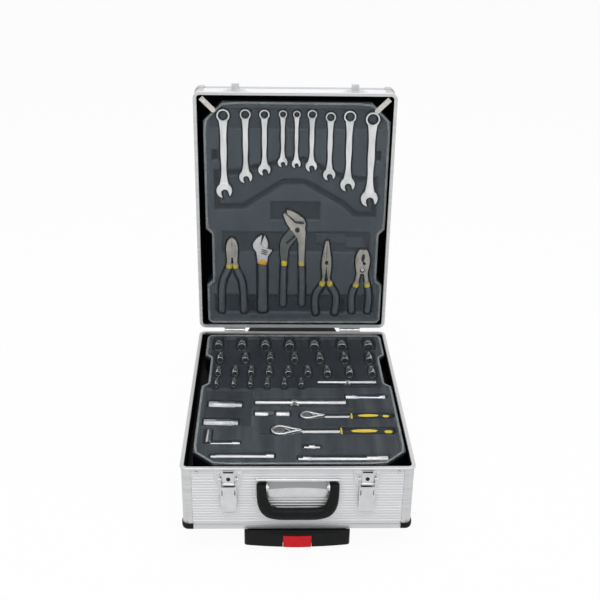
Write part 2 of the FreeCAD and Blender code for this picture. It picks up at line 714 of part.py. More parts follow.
def build_trolley():
    first = GRIP_STAND
    front_end = first + EAR_GAP
    tail = CASE_L - TUBE_TAIL
    wall = TUBE_T + TUBE_FIT
    outer = [tube(x, 0.0, front_end, tail) for x in (-TUBE_X, TUBE_X)]
    middle = [tube(x, wall, front_end, tail - 2 * wall) for x in (-TUBE_X, TUBE_X)]
    inner = [tube(x, 2 * wall, first, tail - 4 * wall) for x in (-TUBE_X, TUBE_X)]
    NODES["trolley_outer_tubes"] = group(outer)
    NODES["trolley_middle_tubes"] = group(middle)
    NODES["trolley_inner_tubes"] = group(inner)
    rear = tail - BRACKET_L
    NODES["trolley_brackets"] = group([trolley_bracket(front_end), trolley_bracket(rear)])
    top = Z_BASE - GRIP_TOP_DROP
    low = top - GRIP_H
    half = GRIP_W / 2
    grip = bowed_block(half, -GRIP_REACH + GRIP_BOW, -GRIP_REACH, first, low, top)
    ends = [e for e in grip.Edges if abs(abs(e.CenterOfMass.x) - half) < 0.01 and e.Length > GRIP_H * 0.9]
    front_ends = [e for e in ends if e.CenterOfMass.y < 0 and abs(e.tangentAt(e.FirstParameter).z) > 0.9]
    grip = grip.makeFillet(min(GRIP_R, GRIP_REACH - GRIP_BOW), front_ends)
    w = BUTTON_W / 2 + BUTTON_FIT
    deep = -GRIP_REACH + BUTTON_DEEP + BUTTON_FIT + BUTTON_STROKE
    well = box(-w, w, -GRIP_REACH - 2, deep, low - 1, low + BUTTON_H + BUTTON_FIT)
    z = low + BUTTON_H / 2
    bore = rod(BUTTON_STEM_R + PIN_CLEAR, (0, deep - 1, z), (0, first + 1, z))
    NODES["trolley_grip"] = grip.cut([well, bore])
    face = -GRIP_REACH
    button = bowed_block(BUTTON_W / 2, face, face - BUTTON_PROUD, face + BUTTON_DEEP, low, low + BUTTON_H)
    stem = rod(BUTTON_STEM_R, (0, -GRIP_REACH + BUTTON_DEEP - 1, z), (0, first - BUTTON_STROKE - EAR_GAP, z))
    NODES["release_button"] = join([button, stem])
    y = front_end + BRACKET_L / 2
    feet = []
    for x in (-FOOT_X, FOOT_X):
        feet.append(Part.makeCone(FOOT_TOE_R, FOOT_R, Z_BASE - BRACKET_H, V(x, y, 0)))
    NODES["rubber_feet"] = group(feet)


def wheel_housing(x):
    half = WHEEL_W / 2 + CHEEK_GAP + CHEEK_T
    y = CASE_L + WHEEL_BACK
    z = WHEEL_R
    low = Z_BASE + HOUSING_LIFT
    outline = [(Y_BACK_WALL, low), (Y_BACK_WALL, low + HOUSING_H), (y + HOUSING_CHEEK, low + HOUSING_BROW)]
    outline += [(y + HOUSING_BACK, z + HOUSING_CHEEK), (y + HOUSING_CHEEK, z - HOUSING_CHEEK)]
    outline += [(y - HOUSING_CHEEK, z - HOUSING_CHEEK), (Y_BACK_WALL + HOUSING_FOOT, low - HOUSING_FOOT)]
    body = prism([(x - half, a, b) for a, b in outline], (2 * half, 0, 0))
    gap = WHEEL_W / 2 + CHEEK_GAP
    far = y + 2 * WHEEL_R
    round_well = rod(WHEEL_R + WHEEL_GAP, (x - gap, y, z), (x + gap, y, z))
    open_well = box(x - gap, x + gap, y - WHEEL_R - WHEEL_GAP, far, -WHEEL_R, z)
    back_well = box(x - gap, x + gap, y, far, -WHEEL_R, z + HOUSING_MOUTH)
    bore = rod(AXLE_R + PIN_CLEAR / 2, (x - half - 1, y, z), (x + half + 1, y, z))
    return body.cut([round_well, open_well, back_well, bore])


def wheel(x):
    y = CASE_L + WHEEL_BACK
    half = WHEEL_W / 2
    ends = ((x - half, y, WHEEL_R), (x + half, y, WHEEL_R))
    tyre = rod(WHEEL_R, ends[0], ends[1])
    rims = [e for e in tyre.Edges if len(e.Vertexes) == 1]
    tyre = tyre.makeFillet(TYRE_ROUND, rims).cut(rod(WHEEL_HUB_R, ends[0], ends[1]))
    hub = rod(WHEEL_HUB_R - PIN_CLEAR, ends[0], ends[1])
    for s in (-1, 1):
        mouth = (x + s * half, y, WHEEL_R)
        bed = (x + s * (half - HUB_DISH), y, WHEEL_R)
        hub = hub.cut(rod(HUB_DISH_R, mouth, bed).cut(rod(HUB_BOSS_R, mouth, bed)))
    bore = rod(AXLE_R + PIN_CLEAR, (x - half - 1, y, WHEEL_R), (x + half + 1, y, WHEEL_R))
    return group([tyre, hub.cut(bore)])


def build_wheels():
    places = (("left", -WHEEL_X), ("right", WHEEL_X))
    half = WHEEL_W / 2 + CHEEK_GAP + CHEEK_T
    y = CASE_L + WHEEL_BACK
    axles = []
    for side, x in places:
        NODES[side + "_wheel"] = wheel(x)
        axles.append(rod(AXLE_R, (x - half, y, WHEEL_R), (x + half, y, WHEEL_R)))
    NODES["wheel_housings"] = group([wheel_housing(x) for _, x in places])
    NODES["wheel_axles"] = group(axles)
    out = y + WHEEL_R
    top = Z_RIM - STAND_DROP
    low = top - STAND_H
    span = STAND_W / 2
    near = Y_BACK_WALL
    tip = span - STAND_TAPER
    wall = STAND_T
    body = prism([(-span, near, low), (span, near, low), (tip, out, low), (-tip, out, low)], (0, 0, STAND_H))
    base = low - 1
    room = [(wall - span, near + wall, base), (span - wall, near + wall, base)]
    room += [(tip - wall, out - wall, base), (wall - tip, out - wall, base)]
    NODES["stand_foot"] = body.cut(prism(room, (0, 0, STAND_H + 1 - wall)))


def tray_outline(inset, w, far_chamfer):
    """Tray outline in its own plane: u across, v from the edge nearest the origin, chamfers at one end."""
    half = TRAY_W / 2 - inset
    high = TRAY_L - inset
    cut = TRAY_CHAMFER - inset * (2 - 2 ** 0.5)
    bend = TRAY_R - inset
    a = TRAY_NOTCH_LOW * SCALE_V - inset
    b = TRAY_NOTCH_HIGH * SCALE_V + inset
    notch = half - TRAY_NOTCH
    corner = []
    for k in range(6):
        t = radians(90 - 15 * k)
        corner.append((half - bend + bend * cos(t), inset + bend - bend * sin(t)))
    side = [(half, inset + bend), (half, a), (notch, a + TRAY_NOTCH), (notch, b - TRAY_NOTCH), (half, b)]
    right = corner + side + [(half, high - cut), (half - cut, high)]
    left = [(-x, y) for x, y in reversed(right)]
    points = [(x + TRAY_SHIFT, y, w) for x, y in right + left]
    if not far_chamfer:
        points = [(x, TRAY_L - y, w) for x, y, w in points]
    return points


def slab_of(inset, w0, w1, far_chamfer):
    return prism(tray_outline(inset, w0, far_chamfer), (0, 0, w1 - w0))


def tray_shell(depth, pockets, far_chamfer):
    """Formed sheet: deck, skirt and pockets, its deck at w 0."""
    outer = slab_of(0.0, -depth, 0.0, far_chamfer)
    core = slab_of(TRAY_T, -depth - 1, -TRAY_T, far_chamfer)
    cups = []
    holes = []
    for u0, u1, v0, v1, deep in pockets:
        cups.append(box(u0 - TRAY_T, u1 + TRAY_T, v0 - TRAY_T, v1 + TRAY_T, -deep - TRAY_T, -TRAY_T / 2))
        holes.append(box(u0, u1, v0, v1, -deep, 1.0))
    inner = slab_of(TRAY_T / 2, -depth, -TRAY_T / 2, far_chamfer)
    cups = [c.common(inner) for c in cups]
    skin = outer.cut(core)
    return skin.fuse(cups).removeSplitter().cut(holes)


def to_base_tray(shape):
    return moved(shape, y=TRAY_FAR_GAP, z=Z_RIM - TRAY_DECK)


def to_lid_tray(shape):
    copy = shape.copy()
    copy.rotate(V(0, 0, 0), V(1, 0, 0), 90)
    copy.translate(V(0, Y_AXIS + SEAM / 2 + TRAY_DECK, Z_AXIS + HINGE_OFF + TRAY_HINGE_GAP))
    return copy


def pocket(shape):
    """The room that a tool lies in."""
    b = shape.optimalBoundingBox(False, False)
    c = POCKET_CLEAR
    return (b.XMin - c, b.XMax + c, b.YMin - c, b.YMax + c, -b.ZMin + POCKET_FLOOR)


def finger_pocket(shape):
    """A socket's room, drawn out to the front so that a finger gets under its mouth."""
    u0, u1, v0, v1, deep = pocket(shape)
    return (u0, u1, v0 - FINGER_ROOM * SCALE_V, v1, deep)


def polygon_prism(points, w0, w1):
    return prism([(x, y, w0) for x, y in points], (0, 0, w1 - w0))


def ngon(u, v, radius, sides, turn, w0, w1):
    points = []
    for k in range(sides):
        a = 2 * pi * k / sides + radians(turn)
        points.append((u + radius * cos(a), v + radius * sin(a)))
    return polygon_prism(points, w0, w1)


def outline_prism(chains, w0, w1):
    """A plate whose outline is a run of chains: two points make a straight side, more a smooth curve."""
    edges = []
    for chain in chains:
        points = [V(x, y, w0) for x, y in chain]
        if len(points) == 2:
            edges.append(Part.makeLine(points[0], points[1]))
        else:
            curve = Part.BSplineCurve()
            curve.interpolate(points)
            edges.append(curve.toShape())
    return Part.Face(Part.Wire(edges)).extrude(V(0, 0, w1 - w0))


# A wrench's shank: share of the way from ring to jaw, and half width as a share of the ring
SHANK = ((0.0, 0.4), (0.12, 0.29), (0.3, 0.225), (0.5, 0.24), (0.72, 0.19), (0.86, 0.28), (1.0, 0.52))

# Wrenches: u, v of the ring and of the jaw's tip, ring diameter
WRENCHES = ((-128, 408, 256, 23.1), (-88.6, 410, 284.5, 19.0), (-54.6, 410, 299, 17.8),
            (-21.7, 411, 315, 14.2), (3, 411, 313.5, 12.8), (30.4, 411, 307, 16.6),
            (63.4, 406.5, 290.5, 17.9), (97.7, 407.7, 270, 21.5), (138.7, 403.5, 241, 25.3))


def wrench(u, v_ring, v_tip, ring_d):
    """A combination wrench: ring at the top, open jaw at the bottom."""
    top = -TOOL_SINK
    low = top - WRENCH_T
    jaw_d = ring_d * JAW_RATIO
    v_jaw = v_tip + jaw_d * JAW_REACH
    ring = rod(ring_d / 2, (u, v_ring, low), (u, v_ring, top))
    jaw = rod(jaw_d / 2, (u, v_jaw, low), (u, v_jaw, top))
    right = [(u + ring_d * b, v_ring + (v_jaw - v_ring) * a) for a, b in SHANK]
    left = [(2 * u - x, v) for x, v in reversed(right)]
    chains = [right, [right[-1], left[0]], left, [left[-1], right[0]]]
    shank = outline_prism(chains, low + SHANK_INSET, top - SHANK_INSET)
    hole = ngon(u, v_ring, ring_d * RING_HOLE, 12, 0, low - 1, top + 1)
    g = jaw_d * JAW_MOUTH
    v_end = v_jaw - g + jaw_d * JAW_DEEP
    mouth = box(u - g, u + g, v_jaw - jaw_d, v_end, low - 1, top + 1)
    mouth = join([mouth, rod(g, (u, v_end, low - 1), (u, v_end, top + 1))])
    mouth.rotate(V(u, v_jaw, 0), V(0, 0, 1), JAW_TURN)
    return join([ring, jaw, shank]).cut([hole, mouth])


# Pliers with a lap joint, drawn from the pivot: the right side of the jaw from its tip, of the lap and of
# the shank's outside down to the collar, then the shank's inside, then both grips from the collar down
CUTTERS = dict(
    at=(-115.5, 145.0),
    jaw=((1.0, 31.0), (5.2, 28.0), (9.6, 19.0), (10.9, 8.0)),
    lap=((10.9, 8.0), (9.9, -8.0)),
    out=((9.9, -8.0), (9.4, -16.0), (10.5, -28.0)),
    within=((1.5, -8.0), (2.3, -16.0), (2.5, -28.0)),
    grips=(((6.1, 0.0), (9.0, 9.0), (16.0, 24.0), (20.5, 50.0), (21.5, 98.0)),) * 2)
LONG_NOSE = dict(
    at=(63.5, 126.0),
    jaw=((2.6, 45.0), (4.4, 34.0), (6.8, 18.0), (8.4, 8.0)),
    lap=((8.4, 8.0), (8.9, -8.0)),
    out=((8.9, -8.0), (7.6, -20.0), (7.2, -30.0), (10.5, -43.0)),
    within=((1.0, -8.0), (1.4, -20.0), (2.6, -30.0), (4.0, -43.0)),
    grips=(((7.2, 0.0), (9.6, 7.0), (16.4, 18.0), (20.5, 40.0), (18.0, 68.0)),) * 2)
SLIP_JOINT = dict(
    at=(132.0, 113.5),
    jaw=((6.5, 40.0), (11.0, 31.0), (13.6, 18.0), (13.0, 9.0)),
    lap=((13.0, 9.0), (10.2, -9.0)),
    out=((10.2, -9.0), (11.8, -20.0), (14.6, -33.0)),
    within=((3.0, -9.0), (5.4, -20.0), (6.4, -33.0)),
    grips=(((10.4, 0.0), (14.0, 15.0), (15.0, 36.0), (13.0, 62.0)),
           ((10.4, 0.0), (16.5, 15.0), (18.5, 36.0), (17.0, 62.0))))

# Pump pliers: the half in front has the lower jaw, the half behind the upper jaw and the slotted arm
PUMP_AT = (6.9, 193.0)
PUMP_DROP = 68.0
PUMP_FRONT = ((-23.0, 33.0), (-26.6, 29.5), (-19.2, 11.4), (-6.7, -6.1), (0.0, -16.6), (2.8, -28.0),
              (4.0, -PUMP_DROP), (13.4, -PUMP_DROP), (15.0, -16.6), (15.5, -3.5), (11.7, 6.1), (5.0, 11.4),
              (-4.2, 13.1), (-19.2, 28.9))
PUMP_BEHIND = ((-20.0, 38.5), (-13.4, 38.1), (-0.8, 31.5), (10.9, 22.8), (15.6, 11.4), (14.0, -4.0),
               (-1.7, -19.3), (-13.4, -34.2), (-17.0, -43.0), (-19.0, -PUMP_DROP), (-28.6, -PUMP_DROP),
               (-31.4, -47.0), (-31.4, -30.0), (-28.0, -19.0), (-13.4, -0.9), (-5.0, 8.0), (-4.2, 17.0),
               (-6.7, 21.0), (-19.2, 31.5))
PUMP_JAW = ((-20.0, 38.5), (-13.4, 38.1), (-0.8, 31.5), (10.9, 22.8), (12.6, 19.3), (-4.0, 16.8),
            (-6.7, 21.0), (-19.2, 31.5))
PUMP_SLOT = ((-5.0, -11.0), (-2.5, -14.5), (-19.0, -30.5), (-22.0, -27.5))
PUMP_GRIPS = (((8.8, 0.0), (10.5, 40.0), (10.5, 92.0)), ((23.8, 0.0), (25.5, 40.0), (25.5, 92.0)))

# Adjustable wrench, from the middle of its collar: body and sliding jaw
ADJUST_AT = (-58.4, 128.5)
ADJUST_END = 20.0
ADJUST_BODY = ((-0.8, 54.0), (-11.0, 46.0), (-18.0, 35.0), (-16.6, 27.0), (-11.5, 20.0), (-9.0, 0.0),
               (9.0, 0.0), (10.5, 11.0), (18.5, 23.0), (9.6, 25.0), (1.0, 29.6), (-3.6, 34.0))
ADJUST_JAW = ((1.2, 30.2), (9.4, 25.6), (10.6, 34.0), (9.0, 42.0), (4.4, 52.5), (-0.4, 40.0), (-2.6, 34.2))


def placed(points, u, v, side=1):
    """Points drawn from a tool's own origin, laid on the tray."""
    return [(u + side * x * SCALE_U, v + y * SCALE_V) for x, y in points]


def plier_half(u, v, side, shape, low, top, keep_high):
    """One half of a pair of pliers: jaw on one side, shank on the other, half as thick at the lap."""
    jaw = [(-x, y) for x, y in shape["jaw"]]
    lap_left = [(-x, y) for x, y in shape["lap"]]
    lap_right = list(reversed(shape["lap"]))
    tip = (-PLIER_SPLIT, jaw[0][1])
    root = (-PLIER_SPLIT, jaw[-1][1])
    within = list(shape["within"])
    out = list(reversed(shape["out"]))
    chains = [[tip, jaw[0]], jaw, lap_left, [lap_left[-1], within[0]], within, [within[-1], out[0]], out]
    chains += [lap_right, [lap_right[-1], root], [root, tip]]
    solid = outline_prism([placed(c, u, v, side) for c in chains], low, top)
    zone = shape["lap"][0][1] * SCALE_V + PLIER_GAP
    wide = 2 * SCALE_U * max(x for x, _ in shape["jaw"])
    mid = (low + top) / 2
    w0 = low - 1 if keep_high else mid - PLIER_GAP / 2
    w1 = mid + PLIER_GAP / 2 if keep_high else top + 1
    room = box(u - wide, u + wide, v - zone, v + zone, w0, w1)
    bore = rod(PLIER_RIVET_R + PIN_CLEAR, (u, v, low - 1), (u, v, top + 1))
    return solid.cut([room, bore])


def plier_grip(u, v_collar, side, line):
    """A dipped grip: a round sleeve along a curve, cut flat at the collar and round at its end."""
    w = -TOOL_SINK - PLIER_GRIP_R - TOOL_STEP
    points = [V(u + side * x * SCALE_U, v_collar - d * SCALE_V, w) for x, d in line]
    points[0].y += PLIER_GRIP_R
    points[-1].y += PLIER_GRIP_R
    curve = Part.BSplineCurve()
    curve.interpolate(points)
    edge = curve.toShape()
    ring = Part.Wire([Part.makeCircle(PLIER_GRIP_R, points[0], edge.tangentAt(edge.FirstParameter))])
    pipe = Part.Wire([edge]).makePipeShell([ring], True, False)
    ball = Part.makeSphere(PLIER_GRIP_R, points[-1])
    far = 10 * PLIER_GRIP_R
    above = box(points[0].x - far, points[0].x + far, v_collar, v_collar + far, w - far, w + far)
    return Part.Solid(pipe.Solids[0]).fuse(ball).cut(above)


def lap_pliers(shape, low, top):
    u = shape["at"][0] * SCALE_U
    v = shape["at"][1] * SCALE_V
    halves = [plier_half(u, v, 1, shape, low, top, True), plier_half(u, v, -1, shape, low, top, False)]
    halves.append(rod(PLIER_RIVET_R, (u, v, low), (u, v, top)))
    collar = v + shape["out"][-1][1] * SCALE_V
    return halves, [plier_grip(u, collar, s, line) for s, line in zip((1, -1), shape["grips"])]


def pump_pliers(low, top):
    u = PUMP_AT[0] * SCALE_U
    v = PUMP_AT[1] * SCALE_V
    mid = (low + top) / 2
    front = polygon_prism(placed(PUMP_FRONT, u, v), mid + PLIER_GAP / 2, top)
    behind = polygon_prism(placed(PUMP_BEHIND, u, v), low, mid - PLIER_GAP / 2)
    behind = behind.cut(polygon_prism(placed(PUMP_SLOT, u, v), low - 1, mid + 1))
    behind = join([behind, polygon_prism(placed(PUMP_JAW, u, v), low, top)])
    bore = rod(PLIER_RIVET_R + PIN_CLEAR, (u, v, low - 1), (u, v, top + 1))
    halves = [front.cut(bore), behind.cut(bore), rod(PLIER_RIVET_R, (u, v, low), (u, v, top))]
    collar = v - PUMP_DROP * SCALE_V
    return halves, [plier_grip(u, collar, s, line) for s, line in zip((1, -1), PUMP_GRIPS)]


def adjustable_wrench(low, top):
    u = ADJUST_AT[0] * SCALE_U
    v = ADJUST_AT[1] * SCALE_V
    body = polygon_prism(placed(ADJUST_BODY, u, v), low, top)
    jaw = polygon_prism(placed(ADJUST_JAW, u, v), low + ADJUST_JAW_STEP, top - ADJUST_JAW_STEP)
    half = ADJUST_GRIP_W / 2
    floor = top - 2 * PLIER_GRIP_R
    handle = rounded(u - half, u + half, ADJUST_END * SCALE_V, v, ADJUST_GRIP_R, floor, top)
    return [body, jaw.cut(body)], handle


def build_pliers():
    steel = []
    grips = []
    rooms = []
    top = -TOOL_SINK - TOOL_STEP
    low = top - 2 * PLIER_T - PLIER_GAP
    pairs = [lap_pliers(shape, low, top) for shape in (CUTTERS, LONG_NOSE, SLIP_JOINT)]
    for halves, sleeves in pairs + [pump_pliers(low, top)]:
        steel += halves
        grips += sleeves
        rooms.append(pocket(Part.makeCompound(halves + sleeves)))
    pieces, handle = adjustable_wrench(top - ADJUST_T, top)
    NODES["adjustable_wrench"] = to_lid_tray(group(pieces))
    NODES["pliers"] = to_lid_tray(group(steel))
    NODES["tool_grips"] = to_lid_tray(group(grips + [handle]))
    rooms.append(pocket(Part.makeCompound(pieces + [handle])))
    return rooms


def build_lid_tray():
    wrenches = []
    rooms = []
    for u, v_ring, v_tip, ring_d in WRENCHES:
        wrenches.append(wrench(u * SCALE_U, v_ring * SCALE_V, v_tip * SCALE_V, ring_d))
        rooms.append(pocket(wrenches[-1]))
    rooms += build_pliers()
    NODES["combination_wrenches"] = to_lid_tray(group(wrenches))
    NODES["lid_tray"] = to_lid_tray(tray_shell(LID_TRAY_DEPTH, rooms, True))
    NODES["lid_tray_cover"] = to_lid_tray(slab_of(COVER_INSET, 0.0, COVER_T, True))


def clip_pivot(side):
    """Pivot of a turn clip in the lid tray's plane."""
    u = side * (CASE_W / 2 - CLEAR_IN - CLIP_IN)
    v = CASE_L - CLEAR_IN - CLIP_DOWN - TRAY_HINGE_GAP
    return u, v


def build_clips():
    screws = []
    posts = []
    under = COVER_T + CLIP_GAP
    for name, side in (("left", -1), ("right", 1)):
        u, v = clip_pivot(side)
        low = under
        high = under + CLIP_T
        half = CLIP_W / 2
        strap = box(u - CLIP_TAIL, u + CLIP_LEN - half, v - half, v + half, low, high)
        tip = rod(half, (u + CLIP_LEN - half, v, low), (u + CLIP_LEN - half, v, high))
        strap = join([strap, tip]).cut(rod(CLIP_SCREW_R + PIN_CLEAR, (u, v, low - 1), (u, v, high + 1)))
        strap.rotate(V(u, v, 0), V(0, 0, 1), 225 if side > 0 else -45)
        NODES[name + "_tray_clip"] = to_lid_tray(strap)
        floor = -LID_TRAY_DEPTH
        post = rod(CLIP_POST_R, (u, v, floor), (u, v, under - PIN_CLEAR))
        shank_low = under - CLIP_LEN / 2
        posts.append(post.cut(rod(CLIP_SCREW_R + PIN_CLEAR / 2, (u, v, shank_low), (u, v, 10))))
        shank = rod(CLIP_SCREW_R, (u, v, shank_low), (u, v, high + PIN_CLEAR))
        head = rod(CLIP_HEAD_R, (u, v, high + PIN_CLEAR), (u, v, high + PIN_CLEAR + CLIP_HEAD_H))
        arm = CLIP_HEAD_R * 0.7
        slot = CLIP_SLOT / 2
        cross = box(u - arm, u + arm, v - slot, v + slot, high + CLIP_HEAD_H / 2, high + CLIP_LEN)
        screws.append(to_lid_tray(join([shank, head]).cut(cross)))
    NODES["clip_posts"] = to_lid_tray(group(posts))
    return screws


def socket(u, v_front, radius, length):
    """A socket lying on its side, its six-sided mouth to the front."""
    w = -TOOL_SINK - radius
    step = v_front + length * 0.6
    body = rod(radius, (u, v_front, w), (u, step, w))
    neck = rod(radius * 0.82, (u, step, w), (u, v_front + length, w))
    mouth = ngon(0, 0, radius * 0.76, 6, 0, 0, length * 0.5)
    mouth.rotate(V(0, 0, 0), V(1, 0, 0), -90)
    mouth.translate(V(u, v_front, w))
    mouth = moved(mouth, y=-0.01)
    g = radius * 0.36
    square = box(u - g, u + g, v_front + length * 0.75, v_front + length + 1, w - g, w + g)
    return join([body, neck]).cut([mouth, square])


# Socket rows: v of the mouths, radius at the left and right end, length, u of each
ROWS = ((402.0, 8.6, 10.2, 25.0, (-141.7, -97.4, -52.6, -5.9, 41.9, 94.3, 145.5)),
        (346.0, 6.2, 7.6, 25.0, (-135.9, -89.2, -42.9, 2.5, 49.9, 96.2, 142.2)),
        (293.5, 5.6, 7.2, 24.0, (-137.1, -106.6, -77.4, -44.8, -10.0, 25.5, 60.9, 101.1, 142.4)),
        (250.0, 3.9, 4.4, 22.0, (-138.0, -107.3, -78.0, -48.3, -17.8, 12.1)))

# Straight bars: u and v of the left end, then the length and radius of each stretch to the right
BARS = ((41.3, 257.5, ((104.1, 3.2),)),
        (88.0, 208.0, ((16.0, 5.8), (4.0, 4.8), (38.0, 3.6), (10.0, 5.0))),
        (-68.0, 189.0, ((154.7, 4.6),)),
        (-135.3, 29.0, ((8.0, 3.2), (78.6, 4.0), (12.0, 5.6))),
        (1.4, 22.5, ((7.0, 3.6), (12.0, 5.6), (87.6, 4.2), (33.0, 6.0))),
        (11.0, 54.0, ((8.0, 2.8), (9.3, 5.2), (8.0, 2.8))))


def bar(u, v, stretches):
    w = -TOOL_SINK - max(radius for _, radius in stretches)
    parts = []
    for length, radius in stretches:
        parts.append(rod(radius, (u, v, w), (u + length * SCALE_U, v, w)))
        u += length * SCALE_U
    return join(parts)


def t_slider(u, v, radius):
    """The sliding block on a T-bar, hollow for the bar."""
    w = -TOOL_SINK - radius
    block = rod(radius * 1.9, (u, v - radius * 2.4, w - radius), (u, v + radius * 1.6, w - radius))
    reach = 3 * radius
    return block.cut(rod(radius + PIN_CLEAR, (u - reach, v, w), (u + reach, v, w)))


def plug_socket(u0, u1, v):
    w = -TOOL_SINK - PLUG_SOCKET_R
    step = u1 - PLUG_NECK_L
    body = rod(PLUG_SOCKET_R, (u0, v, w), (step, v, w))
    neck = rod(PLUG_SOCKET_R * 0.84, (step, v, w), (u1, v, w))
    bore = rod(PLUG_SOCKET_R * 0.72, (u0 - 1, v, w), (u0 + PLUG_BORE_L, v, w))
    return join([body, neck]).cut(bore)


def universal_joint(u0, u1, v):
    """Two forks at right angles on a square core."""
    w = -TOOL_SINK - JOINT_R
    mid = (u0 + u1) / 2
    core = JOINT_CORE / 2
    outer = core + PLIER_GAP + JOINT_FORK_T
    wide = JOINT_FORK_W / 2
    left = [rod(JOINT_R, (u0, v, w), (mid - JOINT_ARM, v, w))]
    right = [rod(JOINT_R, (mid + JOINT_ARM, v, w), (u1, v, w))]
    for s in (-1, 1):
        a, b = sorted((s * (outer - JOINT_FORK_T), s * outer))
        left.append(box(mid - JOINT_ARM - 1, mid + core, v - wide, v + wide, w + a, w + b))
        right.append(box(mid - core, mid + JOINT_ARM + 1, v + a, v + b, w - core, w + core))
    block = box(mid - core, mid + core, v - core, v + core, w - core, w + core)
    return [join(left), join(right), block]


def l_bar(u, v_top, v_low, u_end):
    """A bar with a stout leg and a slim arm that thickens at its end."""
    w = -TOOL_SINK - L_BAR_R
    leg = rod(L_BAR_R, (u, v_top, w), (u, v_low, w))
    ball = Part.makeSphere(L_BAR_R, V(u, v_low, w))
    arm = rod(L_BAR_ARM_R, (u, v_low, w), (u_end, v_low, w))
    end = rod(L_BAR_END_R, (u_end - L_BAR_END_L * SCALE_U, v_low, w), (u_end, v_low, w))
    return join([leg, ball, arm, end])


def ratchet(u_head, v, head_r, u_collar, shank_r):
    """A pear-shaped head that runs out into a round shank."""
    top = -TOOL_SINK - RATCHET_CAP_H
    low = top - RATCHET_T
    mid = (top + low) / 2
    head = rod(head_r, (u_head, v, low), (u_head, v, top))
    cap = rod(head_r * 0.62, (u_head, v, top), (u_head, v, -TOOL_SINK))
    neck = u_head + head_r * 2.6
    upper = [(u_head, v + head_r), (u_head + head_r * 0.9, v + head_r * 0.86), (neck, v + shank_r)]
    lower = [(x, 2 * v - y) for x, y in reversed(upper)]
    chains = [upper, [upper[-1], lower[0]], lower, [lower[-1], upper[0]]]
    pear = outline_prism(chains, mid - RATCHET_NECK_T / 2, mid + RATCHET_NECK_T / 2)
    shank = rod(shank_r, (u_head, v, mid), (u_collar, v, mid))
    return join([head, cap, pear, shank])


def ratchet_grip(u0, u1, v, radius):
    w = -TOOL_SINK - RATCHET_CAP_H - RATCHET_T / 2
    body = rod(radius, (u0 + PIN_CLEAR, v, w), (u1, v, w))
    ends = [e for e in body.Edges if len(e.Vertexes) == 1]
    return body.makeFillet(radius * 0.35, ends)


# Other tools in the base tray: u from and to, or v from and to, in the tray's plane
PLUG_SOCKETS = ((-147.0, 186.0), (-152.0, 129.0))
SLIDERS = ((94.5, 257.5, 3.2), (-1.0, 189.0, 4.6))
JOINT_AT = (-68.0, -10.6, 154.0)
L_BAR_AT = (-142.0, 101.7, 65.3, -91.0)

# Ratchets: u of the head, of the collar and of the grip's end, v, head, shank and grip radius
RATCHETS = ((19.0, 92.0, 162.0, 147.0, 11.5, 3.6, 6.6), (-27.0, 72.0, 161.0, 101.0, 14.0, 4.6, 7.6))


def build_ratchets():
    steel = []
    grips = []
    for head, collar, end, v, head_r, shank_r, grip_r in RATCHETS:
        v = v * SCALE_V
        steel.append(ratchet(head * SCALE_U, v, head_r, collar * SCALE_U, shank_r))
        grips.append(ratchet_grip(collar * SCALE_U, end * SCALE_U, v, grip_r))
    NODES["ratchets"] = to_base_tray(group(steel))
    NODES["ratchet_grips"] = to_base_tray(group(grips))
    return [pocket(Part.makeCompound(pair)) for pair in zip(steel, grips)]


def build_base_tray():
    sockets = []
    plugs = []
    bars = []
    rooms = []
    for v, small, large, length, places in ROWS:
        for k, u in enumerate(places):
            radius = small + (large - small) * k / (len(places) - 1)
            sockets.append(socket(u * SCALE_U, v * SCALE_V, radius, length * SCALE_V))
    rooms += [finger_pocket(s) for s in sockets]
    for u0, v in PLUG_SOCKETS:
        plugs.append(plug_socket(u0 * SCALE_U, (u0 + PLUG_SOCKET_L) * SCALE_U, v * SCALE_V))
    for u, v, stretches in BARS:
        bars.append(bar(u * SCALE_U, v * SCALE_V, stretches))
    bars += [t_slider(u * SCALE_U, v * SCALE_V, radius) for u, v, radius in SLIDERS]
    u, v_top, v_low, u_end = L_BAR_AT
    bars.append(l_bar(u * SCALE_U, v_top * SCALE_V, v_low * SCALE_V, u_end * SCALE_U))
    u0, u1, v = JOINT_AT
    joint = universal_joint(u0 * SCALE_U, u1 * SCALE_U, v * SCALE_V)
    rooms += [pocket(s) for s in plugs + bars]
    rooms.append(pocket(Part.makeCompound(joint)))
    rooms += build_ratchets()
    NODES["sockets"] = to_base_tray(group(sockets + plugs))
    NODES["drive_bars"] = to_base_tray(group(bars + joint))
    NODES["base_tray"] = to_base_tray(tray_shell(BASE_TRAY_DEPTH, rooms, False))
    NODES["base_tray_cover"] = to_base_tray(slab_of(COVER_INSET, 0.0, COVER_T, False))
    top = Z_RIM - TRAY_DECK - BASE_TRAY_DEPTH
    wall = CASE_W / 2 - CLEAR_IN
    y0 = CLEAR_IN + LEDGE_END
    y1 = CASE_L - CLEAR_IN - LEDGE_END
    ledges = [box(wall - LEDGE_W, wall, y0, y1, top - LEDGE_H, top)]
    ledges.append(box(-wall, -wall + LEDGE_W, y0, y1, top - LEDGE_H, top))
    NODES["tray_ledges"] = group(ledges)


